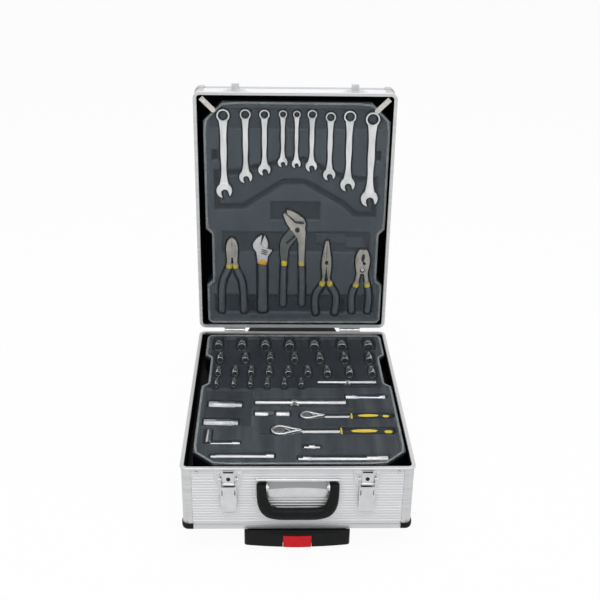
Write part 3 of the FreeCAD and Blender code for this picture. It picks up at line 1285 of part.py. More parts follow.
def build_fasteners(clip_screws):
    base = []
    lid = list(clip_screws)
    face = Y_WALL - PLATE_T
    for x in (-LATCH_X, LATCH_X):
        for s in (-1, 1):
            z = Z_RIM - PLATE_TOP - LATCH_RIVET_DOWN
            base.append(rivet(x + s * LATCH_RIVET_X, face, z, (0, -1, 0)))
            z = Z_RIM + SEAM + PLATE_TOP + RIVET_DOWN
            lid.append(opened(rivet(x + s * STRIKE_RIVET_X, Y_WALL - STRIKE_T, z, (0, -1, 0))))
    beside = CASE_W / 2 - POST_SET - POST_LEG - POST_RIVET_IN
    for s in (-1, 1):
        base.append(rivet(s * beside, Y_WALL, Z_RIM - RIM_H - RIVET_DOWN, (0, -1, 0)))
    face = Y_BACK_WALL + LEAF_T
    drop = RIM_H + HINGE_GAP + HINGE_RIVET_DOWN
    for x in (-HINGE_X, HINGE_X):
        for k in (-1, 0, 1):
            base.append(rivet(x + k * HINGE_RIVET_X, face, Z_RIM - drop, (0, 1, 0)))
            lid.append(opened(rivet(x + k * HINGE_RIVET_X, face, Z_RIM + SEAM + drop, (0, 1, 0))))
    NODES["base_rivets"] = group(base)
    NODES["lid_fasteners"] = group(lid)


def place(name, x, y, z):
    print("POINT", name, round(x, 4), round(y - Y_MID, 4), round(z, 4))


def write():
    for name, shape in NODES.items():
        shape.translate(V(0, -Y_MID, 0))
        shape.exportStep("parts/" + name + ".step")
        bad = [k for k, s in enumerate(shape.Solids) if not s.isValid() or s.Volume <= 0]
        if bad or not shape.Solids:
            print("BAD", name, bad, len(shape.Solids))
    print("NODES", len(NODES), "SOLIDS", sum(len(s.Solids) for s in NODES.values()))
    place("lid_hinge", 0, Y_AXIS, Z_AXIS)
    for side, x in (("left", -LATCH_X), ("right", LATCH_X)):
        z = Z_RIM - LEVER_PIVOT_DROP
        place(side + "_latch_lever", x, Y_WALL - LEVER_PIVOT_OUT, z)
        place(side + "_latch_claw", x, Y_WALL - CLAW_PIVOT_OUT, z - CLAW_ARM)
        place(side + "_lock_barrel", x, Y_WALL - CLAW_OUT, Z_RIM - BARREL_DROP)
    for side, x in (("left", -WHEEL_X), ("right", WHEEL_X)):
        place(side + "_wheel", x, CASE_L + WHEEL_BACK, WHEEL_R)
    for side, s in (("left", -1), ("right", 1)):
        u, v = clip_pivot(s)
        y = Y_AXIS + SEAM / 2 + TRAY_DECK
        place(side + "_tray_clip", u, y, Z_AXIS + HINGE_OFF + TRAY_HINGE_GAP + v)
    y, z = handle_pivot()
    place("carry_handle", 0, y, z)


build_shells()
build_hinges()
build_latches()
build_handle()
build_trolley()
build_wheels()
build_lid_tray()
build_base_tray()
build_fasteners(build_clips())
write()
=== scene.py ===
import json
import math

import bpy
import numpy as np
from mathutils import Matrix, Vector
from mathutils.geometry import delaunay_2d_cdt


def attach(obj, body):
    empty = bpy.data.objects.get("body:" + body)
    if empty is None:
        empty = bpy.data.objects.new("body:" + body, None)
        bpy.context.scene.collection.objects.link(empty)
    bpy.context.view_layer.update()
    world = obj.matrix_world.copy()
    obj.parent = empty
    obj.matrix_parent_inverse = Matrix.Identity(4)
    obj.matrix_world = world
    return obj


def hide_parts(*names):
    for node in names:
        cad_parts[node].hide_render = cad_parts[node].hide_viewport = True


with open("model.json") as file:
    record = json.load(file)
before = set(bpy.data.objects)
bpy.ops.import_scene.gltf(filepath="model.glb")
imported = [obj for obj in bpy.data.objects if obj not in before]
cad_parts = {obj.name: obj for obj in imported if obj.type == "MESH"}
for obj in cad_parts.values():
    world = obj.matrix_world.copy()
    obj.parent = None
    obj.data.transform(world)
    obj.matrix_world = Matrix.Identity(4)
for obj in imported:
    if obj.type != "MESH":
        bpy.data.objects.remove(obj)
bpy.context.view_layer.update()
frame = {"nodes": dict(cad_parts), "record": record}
NODES = frame["nodes"]

# Sizes are millimetres of the case's own drawing: x from its middle, y from its front rim, z from the floor
METRE = 1000
Y_MID = 251.85
SIDES = (("left", -1), ("right", 1))

# Trays: u runs across a deck, v along it from the tray's lower or front edge, w out of it
TRAY_W = 334.0
TRAY_L = 434.0
TRAY_SHIFT = 3.5
LID_DECK_Y = 470.2
LID_TRAY_Z = 160.7
BASE_TRAY_Y = 18.0
BASE_DECK_Z = 142.5


def at(x, y, z):
    """A point of the case's drawing, in the row frame in metres."""
    return Vector((x, y - Y_MID, z)) / METRE


def on_lid(u, v, w):
    return at(u, LID_DECK_Y - w, LID_TRAY_Z + v)


def on_base(u, v, w):
    return at(u, BASE_TRAY_Y + v, BASE_DECK_Z + w)


def lid_uv(p):
    """The way back from on_lid, for a point in millimetres."""
    return p.x, p.z - LID_TRAY_Z, -(p.y + Y_MID - LID_DECK_Y)


def base_uv(p):
    """The way back from on_base, for a point in millimetres."""
    return p.x, p.y + Y_MID - BASE_TRAY_Y, p.z - BASE_DECK_Z


def outward(place):
    """The direction out of a tray's deck, one millimetre long."""
    return place(0, 0, 1) - place(0, 0, 0)


# Materials
NOISE_SPAN = (0.3, 0.7)
NOISE_ROUGHNESS = 0.55
PATCH_DETAIL = 4.0
GRAIN_DETAIL = 3.0
PLAIN = (1, 1, 1)
BRUSHED = (0.004, 0.004, 1.0)


def new_material(name):
    material = bpy.data.materials.new(name)
    material.use_nodes = True
    tree = material.node_tree
    return material, tree, tree.nodes["Principled BSDF"]


def node(tree, kind, **settings):
    made = tree.nodes.new(kind)
    for key, value in settings.items():
        setattr(made, key, value)
    return made


def set_inputs(made, values):
    for name, value in values.items():
        made.inputs[name].default_value = value


def noise(tree, place, scale, detail=GRAIN_DETAIL):
    made = node(tree, "ShaderNodeTexNoise")
    set_inputs(made, {"Scale": scale, "Detail": detail, "Roughness": NOISE_ROUGHNESS})
    tree.links.new(place, made.inputs["Vector"])
    return made.outputs["Fac"]


def map_range(tree, value, source, target=(0.0, 1.0), **settings):
    made = node(tree, "ShaderNodeMapRange", **settings)
    set_inputs(made, {"From Min": source[0], "From Max": source[1], "To Min": target[0], "To Max": target[1]})
    tree.links.new(value, made.inputs["Value"])
    return made.outputs["Result"]


def colour_mix(tree, factor):
    made = node(tree, "ShaderNodeMix", data_type="RGBA")
    tree.links.new(factor, made.inputs["Factor"])
    return made


def add_bump(tree, shader, place, height, grain):
    bump = node(tree, "ShaderNodeBump")
    set_inputs(bump, {"Strength": 1.0, "Distance": height / METRE})
    tree.links.new(noise(tree, place, grain), bump.inputs["Height"])
    tree.links.new(bump.outputs["Normal"], shader.inputs["Normal"])


def finish_material(name, dark, light, rough, metal=0.0, stretch=PLAIN, patch=60, grain=900,
                    bump=0.0, bump_grain=900, specular=0.5, alpha=1.0):
    """A colour that drifts between two tones, roughness with its own grain and a fine bump.

    patch, grain and bump_grain are noise scales per metre. bump is a height in millimetres.
    """
    material, tree, shader = new_material(name)
    mapping = node(tree, "ShaderNodeMapping")
    set_inputs(mapping, {"Scale": stretch})
    tree.links.new(node(tree, "ShaderNodeTexCoord").outputs["Object"], mapping.inputs["Vector"])
    place = mapping.outputs["Vector"]
    tones = colour_mix(tree, map_range(tree, noise(tree, place, patch, PATCH_DETAIL), NOISE_SPAN))
    set_inputs(tones, {"A": (*dark, 1), "B": (*light, 1)})
    tree.links.new(tones.outputs["Result"], shader.inputs["Base Color"])
    tree.links.new(map_range(tree, noise(tree, place, grain), NOISE_SPAN, rough), shader.inputs["Roughness"])
    set_inputs(shader, {"Metallic": metal, "Specular IOR Level": specular, "Alpha": alpha})
    if bump:
        add_bump(tree, shader, place, bump, bump_grain)
    return material


def tray_material(name, axis, deck, floor, deep, **finish):
    """Formed sheet whose colour turns from its deck's tones to the colour deep, down to its floor along an
    axis: painted shade in its recesses.
    """
    material = finish_material(name, grain=700, bump=0.01, bump_grain=700, specular=0.1, **finish)
    tree = material.node_tree
    colour = tree.nodes["Principled BSDF"].inputs["Base Color"]
    place = node(tree, "ShaderNodeSeparateXYZ")
    tree.links.new(node(tree, "ShaderNodeTexCoord").outputs["Object"], place.inputs["Vector"])
    # The deeper the sheet lies under its deck, the more painted shade it takes on
    shade = colour_mix(tree, map_range(tree, place.outputs[axis], (deck / METRE, floor / METRE)))
    tree.links.new(colour.links[0].from_socket, shade.inputs["A"])
    set_inputs(shade, {"B": (*deep, 1)})
    tree.links.new(shade.outputs["Result"], colour)
    return material


TRIM = dict(rough=(0.3, 0.45), patch=200, bump=0.02, bump_grain=1400, specular=0.3)
FINISHES = {
    "ribbed_aluminium": dict(
        dark=(0.63, 0.64, 0.655), light=(0.70, 0.71, 0.725), rough=(0.46, 0.54),
        metal=0.8, stretch=BRUSHED, patch=120),
    "bright_aluminium": dict(
        dark=(0.54, 0.545, 0.55), light=(0.66, 0.665, 0.67), rough=(0.36, 0.46),
        metal=0.85, stretch=BRUSHED, patch=160),
    "plated_steel": dict(
        dark=(0.58, 0.585, 0.59), light=(0.68, 0.685, 0.69), rough=(0.28, 0.38),
        metal=0.95, grain=700, bump=0.003),
    "dull_steel": dict(
        dark=(0.30, 0.31, 0.315), light=(0.37, 0.38, 0.385), rough=(0.40, 0.55),
        metal=0.85, stretch=BRUSHED, bump=0.004),
    "clip_steel": dict(
        dark=(0.62, 0.585, 0.54), light=(0.72, 0.69, 0.64), rough=(0.40, 0.55),
        metal=0.25, patch=160, bump=0.02),
    # Near black; also painted shade in the discs of the sockets' mouths and the plates behind the claws'
    # slots
    "lock_steel": dict(
        dark=(0.004, 0.004, 0.004), light=(0.010, 0.010, 0.010), rough=(0.35, 0.5),
        metal=0.2, patch=300, bump=0.01),
    "black_plastic": dict(
        dark=(0.003, 0.0033, 0.0038), light=(0.006, 0.0065, 0.0075), rough=(0.34, 0.46),
        patch=90, grain=1200, bump=0.01, bump_grain=1600, specular=0.15),
    "grip_plastic": dict(
        dark=(0.078, 0.094, 0.107), light=(0.100, 0.120, 0.135), rough=(0.45, 0.6),
        patch=90, grain=1200, bump=0.02, bump_grain=1600, specular=0.25),
    "black_lining": dict(
        dark=(0.003, 0.003, 0.0035), light=(0.006, 0.006, 0.007), rough=(0.8, 0.95),
        patch=220, grain=1200, bump=0.06, bump_grain=1300, specular=0.03),
    "red_plastic": dict(
        dark=(0.60, 0.003, 0.008), light=(0.72, 0.006, 0.013), rough=(0.32, 0.44),
        patch=160, grain=1200, bump=0.03, bump_grain=1400, specular=0.22),
    "rubber": dict(
        dark=(0.010, 0.010, 0.010), light=(0.022, 0.022, 0.022), rough=(0.6, 0.85),
        patch=120, bump=0.08, bump_grain=1300),
    "clear_sheet": dict(
        dark=(0.30, 0.33, 0.36), light=(0.40, 0.43, 0.46), rough=(0.10, 0.18),
        patch=14, grain=200, specular=0.12, alpha=0.035),
    "cover_lip": dict(
        dark=(0.26, 0.29, 0.29), light=(0.42, 0.45, 0.46), rough=(0.12, 0.25),
        patch=40, grain=300, bump=0.01, bump_grain=200, specular=0.6, alpha=0.5),
    "tool_steel": dict(
        dark=(0.60, 0.61, 0.62), light=(0.72, 0.725, 0.73), rough=(0.22, 0.32),
        metal=0.9, patch=40, grain=800),
    "bar_steel": dict(
        dark=(0.46, 0.47, 0.48), light=(0.54, 0.545, 0.55), rough=(0.12, 0.22),
        metal=0.88, patch=70, grain=800),
    # Sockets' chrome, darker than the other tools' steel: partly a painted reflection of the dark lid above
    # them
    "socket_chrome_painted_dark": dict(
        dark=(0.28, 0.29, 0.30), light=(0.38, 0.39, 0.41), rough=(0.12, 0.20),
        metal=0.95, grain=800),
    "wrench_steel": dict(
        dark=(0.64, 0.66, 0.67), light=(0.92, 0.925, 0.93), rough=(0.28, 0.40),
        metal=0.7, stretch=(1, 1, 0.35), patch=70, grain=800),
    "plier_steel": dict(
        dark=(0.36, 0.352, 0.315), light=(0.58, 0.56, 0.51), rough=(0.30, 0.42),
        metal=0.7, grain=800),
    "arm_steel": dict(
        dark=(0.105, 0.125, 0.125), light=(0.16, 0.18, 0.178), rough=(0.34, 0.46),
        metal=0.5, patch=90, grain=800),
    # Dark steel; also painted shade in the pliers' slots and in the pump pliers' mouth
    "dark_steel": dict(
        dark=(0.020, 0.021, 0.022), light=(0.035, 0.036, 0.038), rough=(0.3, 0.45),
        metal=0.6, patch=200, bump=0.01),
    "yellow_plastic": dict(dark=(0.70, 0.53, 0.02), light=(0.82, 0.65, 0.04), **TRIM),
    "orange_plastic": dict(dark=(0.80, 0.36, 0.03), light=(0.90, 0.48, 0.07), **TRIM),
}
LOOK = {name: finish_material(name, **finish) for name, finish in FINISHES.items()}

# Trays: painted shade darkens them with depth under the deck, darkest at this depth
TRAY_SHADE = 6.0
LID_DECK = LID_DECK_Y - Y_MID
# Lid tray: its tones drift in streaks along the tray, partly the tray's own tone and partly painted
# reflection of the clear cover
LOOK["grey_tray"] = tray_material(
    "grey_tray", "Y", LID_DECK, LID_DECK + TRAY_SHADE, deep=(0.026, 0.033, 0.040),
    dark=(0.078, 0.096, 0.111), light=(0.102, 0.125, 0.143), rough=(0.38, 0.5),
    stretch=(1, 1, 0.3), patch=40)
# Base tray: its tones drift in strong streaks along the tray, a painted sheen of the clear cover over the
# tray's own tone
LOOK["dark_tray"] = tray_material(
    "dark_tray", "Z", BASE_DECK_Z, BASE_DECK_Z - TRAY_SHADE, deep=(0.004, 0.006, 0.010),
    dark=(0.020, 0.026, 0.033), light=(0.080, 0.094, 0.104), rough=(0.28, 0.40),
    stretch=(1, 0.08, 1), patch=45)

# Nodes whose look is not that of their slot
NODE_LOOK = {"left_tray_clip": "clip_steel", "right_tray_clip": "clip_steel", "pliers": "plier_steel",
             "sockets": "socket_chrome_painted_dark", "drive_bars": "bar_steel", "ratchets": "bar_steel",
             "combination_wrenches": "wrench_steel", "adjustable_wrench": "wrench_steel"}


def dress_nodes():
    """The record's slot of each node decides its finish, unless NODE_LOOK names another."""
    for part in frame["record"]["subparts"]:
        materials = NODES[part["node"]].data.materials
        materials.clear()
        materials.append(LOOK[NODE_LOOK.get(part["node"], part["material_slot"])])


# Eased edges of CAD nodes, where light catches them: width, segments, nodes
EASED = (
    (0.25, 2, ("base_front_panel", "base_rear_panel", "base_side_panels", "base_corner_posts",
               "base_bottom_edges", "base_rim_rails", "lid_wall_panels", "lid_corner_posts",
               "lid_top_edges", "lid_rim_rails")),
    (1.6, 3, ("lid_corner_caps",)),
    (0.3, 2, ("latch_plates", "left_latch_lever", "right_latch_lever", "left_latch_claw", "right_latch_claw",
              "latch_strikes", "handle_plate", "hinge_base_leaves", "hinge_lid_leaves", "left_tray_clip",
              "right_tray_clip", "base_rivets", "lid_fasteners")),
    (2.2, 3, ("trolley_grip",)),
    (1.4, 3, ("release_button",)),
    (1.0, 2, ("trolley_brackets", "stand_foot", "wheel_housings")),
    (0.6, 2, ("combination_wrenches", "pliers", "adjustable_wrench", "ratchets")),
    (0.4, 2, ("sockets", "drive_bars")),
)
EASED_ANGLE = 35.0
WELD_REACH = 0.001


def ease_edges():
    for width, segments, names in EASED:
        for name in names:
            weld = NODES[name].modifiers.new("weld", "WELD")
            weld.merge_threshold = WELD_REACH / METRE
            bevel = NODES[name].modifiers.new("ease", "BEVEL")
            bevel.width = width / METRE
            bevel.segments = segments
            bevel.limit_method = "ANGLE"
            bevel.angle_limit = math.radians(EASED_ANGLE)
            bevel.use_clamp_overlap = True
            bevel.harden_normals = True


# Shapes: each is a pair of points in metres and faces. Creases are the angles that stay sharp
CREASE = 40.0
MOULDED = 60.0


def add_object(name, data):
    o = bpy.data.objects.new(name, data)
    bpy.context.scene.collection.objects.link(o)
    return o


def piece(name, shape, body, slot=None, look=None, smooth=True, crease=CREASE):
    """A mesh that rides on a body. Its look is its slot's, unless another is named."""
    points, faces = shape
    mesh = bpy.data.meshes.new(name)
    mesh.from_pydata([tuple(p) for p in points], [], [tuple(f) for f in faces])
    mesh.validate()
    o = add_object(name, mesh)
    mesh.materials.append(LOOK[look or slot])
    if smooth:
        mesh.shade_smooth()
        mesh.set_sharp_from_angle(angle=math.radians(crease))
    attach(o, body)
    return o


def merged(shapes):
    points = []
    faces = []
    for more, rings in shapes:
        start = len(points)
        points += list(more)
        faces += [[start + k for k in ring] for ring in rings]
    return points, faces


def grid_faces(rows, cols, round_rows=False, round_cols=True):
    """Faces between the rows of a grid of points, which may close on itself either way."""
    faces = []
    for i in range(rows if round_rows else rows - 1):
        for k in range(cols if round_cols else cols - 1):
            j = (i + 1) % rows
            q = (k + 1) % cols
            faces.append((i * cols + k, i * cols + q, j * cols + q, j * cols + k))
    return faces


def smooth_line(points, count):
    """Points along a natural cubic curve through the given ones."""
    p = np.array(points, float)
    t = np.concatenate([[0.0], np.cumsum(np.linalg.norm(np.diff(p, axis=0), axis=1))])
    n = len(t)
    h = np.diff(t)
    a = np.eye(n)
    b = np.zeros(p.shape)
    for i in range(1, n - 1):
        a[i, i - 1] = h[i - 1]
        a[i, i] = 2 * (h[i - 1] + h[i])
        a[i, i + 1] = h[i]
        b[i] = 6 * ((p[i + 1] - p[i]) / h[i] - (p[i] - p[i - 1]) / h[i - 1])
    m = np.linalg.solve(a, b)
    s = np.linspace(0, t[-1], count)
    k = np.clip(np.searchsorted(t, s, side="right") - 1, 0, n - 2)
    hk = h[k][:, None]
    x0 = (t[k + 1] - s)[:, None]
    x1 = (s - t[k])[:, None]
    bend = (m[k] * x0 ** 3 + m[k + 1] * x1 ** 3) / (6 * hk)
    return bend + (p[k] / hk - m[k] * hk / 6) * x0 + (p[k + 1] / hk - m[k + 1] * hk / 6) * x1


def sweep(line, wide, tall, up, sides=24, power=2.0, closed=False):
    """A superellipse drawn along a line: half sizes wide across and tall along up. Open ends are capped."""
    p = [Vector(x) for x in line]
    n = len(p)
    wide = np.broadcast_to(wide, n)
    tall = np.broadcast_to(tall, n)
    up = Vector(up)
    points = []
    for i in range(n):
        before = p[i - 1] if (i > 0 or closed) else p[i]
        after = p[(i + 1) % n] if (i < n - 1 or closed) else p[i]
        along = (after - before).normalized()
        across = along.cross(up).normalized()
        top = across.cross(along)
        for k in range(sides):
            a = 2 * math.pi * k / sides
            c = math.cos(a)
            s = math.sin(a)
            x = math.copysign(abs(c) ** (2 / power), c) * wide[i] / METRE
            y = math.copysign(abs(s) ** (2 / power), s) * tall[i] / METRE
            points.append(p[i] + across * x + top * y)
    faces = grid_faces(n, sides, closed)
    if not closed:
        faces.append(tuple(range(sides)))
        faces.append(tuple(reversed(range((n - 1) * sides, n * sides))))
    return points, faces


def lathe(profile, origin, axis, sides):
    """A profile of (radius, distance along the axis) turned about an axis."""
    axis = Vector(axis).normalized()
    side = axis.orthogonal().normalized()
    other = axis.cross(side)
    points = []
    for radius, along in profile:
        for k in range(sides):
            a = 2 * math.pi * k / sides
            out = (side * math.cos(a) + other * math.sin(a)) * (radius / METRE)
            points.append(Vector(origin) + axis * (along / METRE) + out)
    return points, grid_faces(len(profile), sides)


def plate(outline, place, w0, w1):
    """An outline in a plane, from the level w0 to the level w1."""
    n = len(outline)
    points = [place(u, v, w0) for u, v in outline] + [place(u, v, w1) for u, v in outline]
    faces = [tuple(reversed(range(n))), tuple(range(n, 2 * n))]
    faces += [(k, (k + 1) % n, n + (k + 1) % n, n + k) for k in range(n)]
    return points, faces


def oval(u, v, half_u, half_v, turn=0.0, count=28):
    c = math.cos(turn)
    s = math.sin(turn)
    points = []
    for k in range(count):
        a = half_u * math.cos(2 * math.pi * k / count)
        b = half_v * math.sin(2 * math.pi * k / count)
        points.append((u + a * c - b * s, v + a * s + b * c))
    return points


WASHER_EASE = 0.3
WASHER_DROP = 0.2


def washer(u, v, inner, outer, place, w0, w1):
    """A flat ring with a rounded top."""
    shoulder = w1 - WASHER_DROP
    profile = [(inner, w0), (inner, shoulder), (inner + WASHER_EASE, w1), (outer - WASHER_EASE, w1),
               (outer, shoulder), (outer, w0)]
    return lathe(profile, place(u, v, 0), outward(place), sides=32)


def round_end(left, length):
    """Share of the full radius near a rounded end of some length, from the length left to its tip."""
    return np.sqrt(np.clip(1 - np.clip(1 - left / length, 0, 1) ** 2, 0, 1))


# Trays: formed sheet whose pockets follow the tools that lie in it
TRAY_CHAMFER = 35.0
TRAY_BEND = 11.0
BEND_STEPS = 6
NOTCH_DEEP = 11.0
NOTCH_FROM = 82.0
NOTCH_TO = 195.0
FAR = 1e9


def tray_outline(inset, far_chamfer):
    """The tray's edge: chamfers at one end, round corners at the other, a notch in each side."""
    half = TRAY_W / 2 - inset
    high = TRAY_L - inset
    chamfer = TRAY_CHAMFER - inset * (2 - 2 ** 0.5)
    bend = TRAY_BEND - inset
    notch = half - NOTCH_DEEP
    low = NOTCH_FROM - inset
    top = NOTCH_TO + inset
    right = []
    for k in range(BEND_STEPS + 1):
        t = math.radians(90 - 90 * k / BEND_STEPS)
        right.append((half - bend + bend * math.cos(t), inset + bend - bend * math.sin(t)))
    right += [(half, low), (notch, low + NOTCH_DEEP), (notch, top - NOTCH_DEEP), (half, top)]
    right += [(half, high - chamfer), (half - chamfer, high)]
    points = right + [(-x, y) for x, y in reversed(right)]
    if not far_chamfer:
        points = [(x, TRAY_L - y) for x, y in reversed(points)]
    return [(x + TRAY_SHIFT, y) for x, y in points]


def signed_distance(outline, u, v):
    """Distance of points from a closed outline, positive inside."""
    nearest = np.full(u.shape, FAR)
    inside = np.zeros(u.shape, bool)
    for (x0, y0), (x1, y1) in zip(outline, (*outline[1:], outline[0])):
        dx = x1 - x0
        dy = y1 - y0
        t = np.clip(((u - x0) * dx + (v - y0) * dy) / (dx * dx + dy * dy), 0, 1)
        nearest = np.minimum(nearest, (u - x0 - t * dx) ** 2 + (v - y0 - t * dy) ** 2)
        if dy:
            inside ^= ((y0 > v) != (y1 > v)) & (u < x0 + (v - y0) * dx / dy)
    return np.where(inside, 1, -1) * np.sqrt(nearest)


def block_distance(u, v, u0, u1, v0, v1):
    """Positive inside a rectangle."""
    return np.minimum(np.minimum(u - u0, u1 - u), np.minimum(v - v0, v1 - v))


def step(distance, width):
    """0 outside, 1 inside, with a soft edge."""
    t = np.clip(distance / width + 0.5, 0, 1)
    return t * t * (3 - 2 * t)


# Grids of a tray: one value for each cell of its deck
CELL = 1.0
SAMPLE_STEPS = (1, 4, 16, 64, 160)
DISC_EDGE = 0.3
GRID_END = 1.001


def sample_groups(longest):
    """Steps of sampling and the triangles that they suit, so that samples lie about a cell apart."""
    low = -1.0
    for steps in SAMPLE_STEPS:
        high = FAR if steps == SAMPLE_STEPS[-1] else steps * CELL
        yield steps, (longest > low) & (longest <= high)
        low = high


def tool_depths(names, to_tray):
    """How deep the tools reach under the deck in each cell of the tray."""
    rows = int(TRAY_L / CELL) + 1
    cols = int(TRAY_W / CELL) + 1
    deep = np.zeros((rows, cols))
    for name in names:
        mesh = NODES[name].data
        mesh.calc_loop_triangles()
        corners = np.array([to_tray(v.co * METRE) for v in mesh.vertices])
        a, b, c = corners[np.array([t.vertices[:] for t in mesh.loop_triangles])].transpose(1, 0, 2)
        longest = np.maximum(np.linalg.norm(b - a, axis=1), np.linalg.norm(c - a, axis=1))
        for steps, pick in sample_groups(longest):
            for i in range(steps + 1):
                for j in range(steps + 1 - i):
                    s = i / steps
                    t = j / steps
                    p = a[pick] * (1 - s - t) + b[pick] * s + c[pick] * t
                    row = np.clip(np.rint(p[:, 1] / CELL).astype(int), 0, rows - 1)
                    col = np.rint((p[:, 0] - TRAY_SHIFT + TRAY_W / 2) / CELL).astype(int)
                    np.maximum.at(deep, (row, np.clip(col, 0, cols - 1)), -p[:, 2])
    return deep


def shifted(grid, dy, dx):
    out = np.zeros_like(grid)
    h, w = grid.shape
    to_rows = slice(max(dy, 0), h + min(dy, 0))
    to_cols = slice(max(dx, 0), w + min(dx, 0))
    from_rows = slice(max(-dy, 0), h + min(-dy, 0))
    from_cols = slice(max(-dx, 0), w + min(-dx, 0))
    out[to_rows, to_cols] = grid[from_rows, from_cols]
    return out


def disc_of(grid, reach):
    """Copies of a grid, shifted to each cell of a disc."""
    span = range(-reach, reach + 1)
    cells = [(dy, dx) for dy in span for dx in span]
    return [shifted(grid, dy, dx) for dy, dx in cells if dy * dy + dx * dx <= (reach + DISC_EDGE) ** 2]


def widened(grid, reach):
    return np.maximum.reduce(disc_of(grid, reach))


def blurred(grid, reach):
    copies = disc_of(grid, reach)
    return sum(copies) / len(copies)


def looked_up(grid, u, v):
    """A grid's value at points between its cells."""
    x = np.clip((u - TRAY_SHIFT + TRAY_W / 2) / CELL, 0, grid.shape[1] - GRID_END)
    y = np.clip(v / CELL, 0, grid.shape[0] - GRID_END)
    col = x.astype(int)
    row = y.astype(int)
    x = x - col
    y = y - row
    low = grid[row, col] * (1 - x) + grid[row, col + 1] * x
    high = grid[row + 1, col] * (1 - x) + grid[row + 1, col + 1] * x
    return low * (1 - y) + high * y


# Rooms for fingers at the sockets' mouths, in cells: first row, flat part, slope and whole reach
SOCKETS_FROM = 232
FINGER_FLAT = 4
FINGER_SLOPE = 18
FINGER_ROOM = 20


def finger_rooms(sockets):
    """Slopes that run up to the deck in front of the sockets' mouths."""
    rows = sockets.copy()
    rows[:SOCKETS_FROM] = 0
    out = np.zeros_like(rows)
    for k in range(1, FINGER_ROOM + 1):
        out = np.maximum(out, shifted(rows, -k, 0) * (1 - max(0, k - FINGER_FLAT) / FINGER_SLOPE))
    return out


# The sheet: distance of its points, how near they come to its edge, and its levels
SHEET_GAP = 1.5
SHEET_MARGIN = 0.45 * SHEET_GAP
MERGE_REACH = 1e-5
SHEET_SINK = 0.25
SHEET_EDGE = 1.0
SHEET_EDGE_SOFT = 1.5
POCKET_LEAST = 0.1
POCKET_GAP = 0.5
POCKET_ROOM = 2
POCKET_SOFT = 1


def divided(outline, gap):
    """An outline's points with more between them, about a gap apart."""
    points = []
    for a, b in zip(outline, outline[1:] + outline[:1]):
        a = np.array(a)
        b = np.array(b)
        parts = max(1, int(round(np.linalg.norm(b - a) / gap)))
        points += [tuple(a + (b - a) * k / parts) for k in range(parts)]
    return points


def tray_mesh(outline, depth_at, skirt, place):
    """The deck as a fine sheet that follows depth_at, with a skirt round it."""
    low = np.array(outline).min(0)
    high = np.array(outline).max(0)
    u, v = np.meshgrid(*[np.arange(a + SHEET_GAP / 2, b, SHEET_GAP) for a, b in zip(low, high)])
    keep = signed_distance(outline, u, v) > SHEET_MARGIN
    edge = divided(outline, SHEET_GAP)
    n = len(edge)
    flat = [Vector(p) for p in edge + list(zip(u[keep], v[keep]))]
    found, _, sheet, origins, _, _ = delaunay_2d_cdt(flat, [], [list(range(n))], 1, MERGE_REACH)
    uv = np.array([tuple(p) for p in found])
    points = [place(a, b, -d) for (a, b), d in zip(uv, depth_at(uv[:, 0], uv[:, 1]))]
    start = len(points)
    points += [place(a, b, -skirt) for a, b in edge]
    where = {i: k for k, ids in enumerate(origins) for i in ids}
    faces = [tuple(f) for f in sheet]
    for k in range(n):
        j = (k + 1) % n
        faces.append((where[j], where[k], start + k, start + j))
    return points, faces


def formed_tray(name, node_name, tools, to_tray, place, far_chamfer, skirt, body, slot, relief):
    outline = tray_outline(0.0, far_chamfer)
    deep = tool_depths(tools, to_tray)
    if "sockets" in tools:
        deep = np.maximum(deep, finger_rooms(tool_depths(["sockets"], to_tray)))
    pockets = blurred(widened(deep, POCKET_ROOM), POCKET_SOFT)

    def depth_at(u, v):
        edge = signed_distance(outline, u, v)
        pocket = looked_up(pockets, u, v)
        pocket = np.where(pocket > POCKET_LEAST, pocket + POCKET_GAP, 0.0)
        level = np.maximum(SHEET_SINK + relief(u, v, edge), pocket)
        return level * step(edge - SHEET_EDGE, SHEET_EDGE_SOFT) + SHEET_SINK

    o = piece(name, tray_mesh(outline, depth_at, skirt, place), body, slot, crease=MOULDED)
    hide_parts(node_name)


# Relief of the decks: the border, then recesses from u to u and from v to v with their depth
BORDER_DEEP = 1.0
BORDER_SOFT = 2.5
LID_BORDER = 8.0
LID_SOFT = 5.0
LID_RECESSES = (
    (-152, 158, 384, 422, 3.2),
    (-149.5, -138.7, 327, 345, 6.0),
    (145.4, 156.2, 327, 345, 6.0),
    (-44, 49, 212, 249, 4.2),
    (-135, 144, 147.5, 189.5, 3.6),
    (-150, 157, 22, 60, 4.5),
    (-92, -72, 20, 50, 8.0),
    (80, 100, 20, 50, 8.0),
)
BASE_BORDER = 7.0
BASE_SOFT = 3.0
BASE_RECESSES = (
    (-153, 152, 236, 424, 4.5),
    (-153, -72, 112, 228, 3.0),
    (-72, 92, 172, 205, 2.5),
    (-60, 160, 84, 165, 2.0),
    (-140, -40, 14, 44, 2.0),
    (0, 146, 10, 36, 2.0),
)

# The lid's wide recess under the wrenches' jaws, with a groove along its edge, and the raised blocks
JAW_RECESS = ((-146, 308), (-107.7, 308), (-72, 318), (-29, 326.5), (-7.4, 333), (16.5, 333), (35.6, 325),
              (76, 305), (117, 296), (152, 296), (152, 219), (112, 219), (85.7, 242.4), (16.5, 282),
              (-19.4, 281), (-91, 234), (-146, 232.5))
JAW_DEEP = 2.2
GROOVE_DEEP = 2.8
GROOVE_HALF = 6.0
GROOVE_IN = 4.0
RAISED_BLOCKS = ((42, 96, 166, 184), (98, 132, 156, 176))
BLOCK_HIGH = 1.6
BLOCK_FROM = 2.0
BLOCK_SOFT = 0.5


def recessed(u, v, edge, border, recesses, soft):
    """Depth of a deck inside its raised border, with its recesses."""
    level = BORDER_DEEP * step(edge - border, BORDER_SOFT)
    for *sides, deep in recesses:
        level = np.maximum(level, deep * step(block_distance(u, v, *sides), soft))
    return level


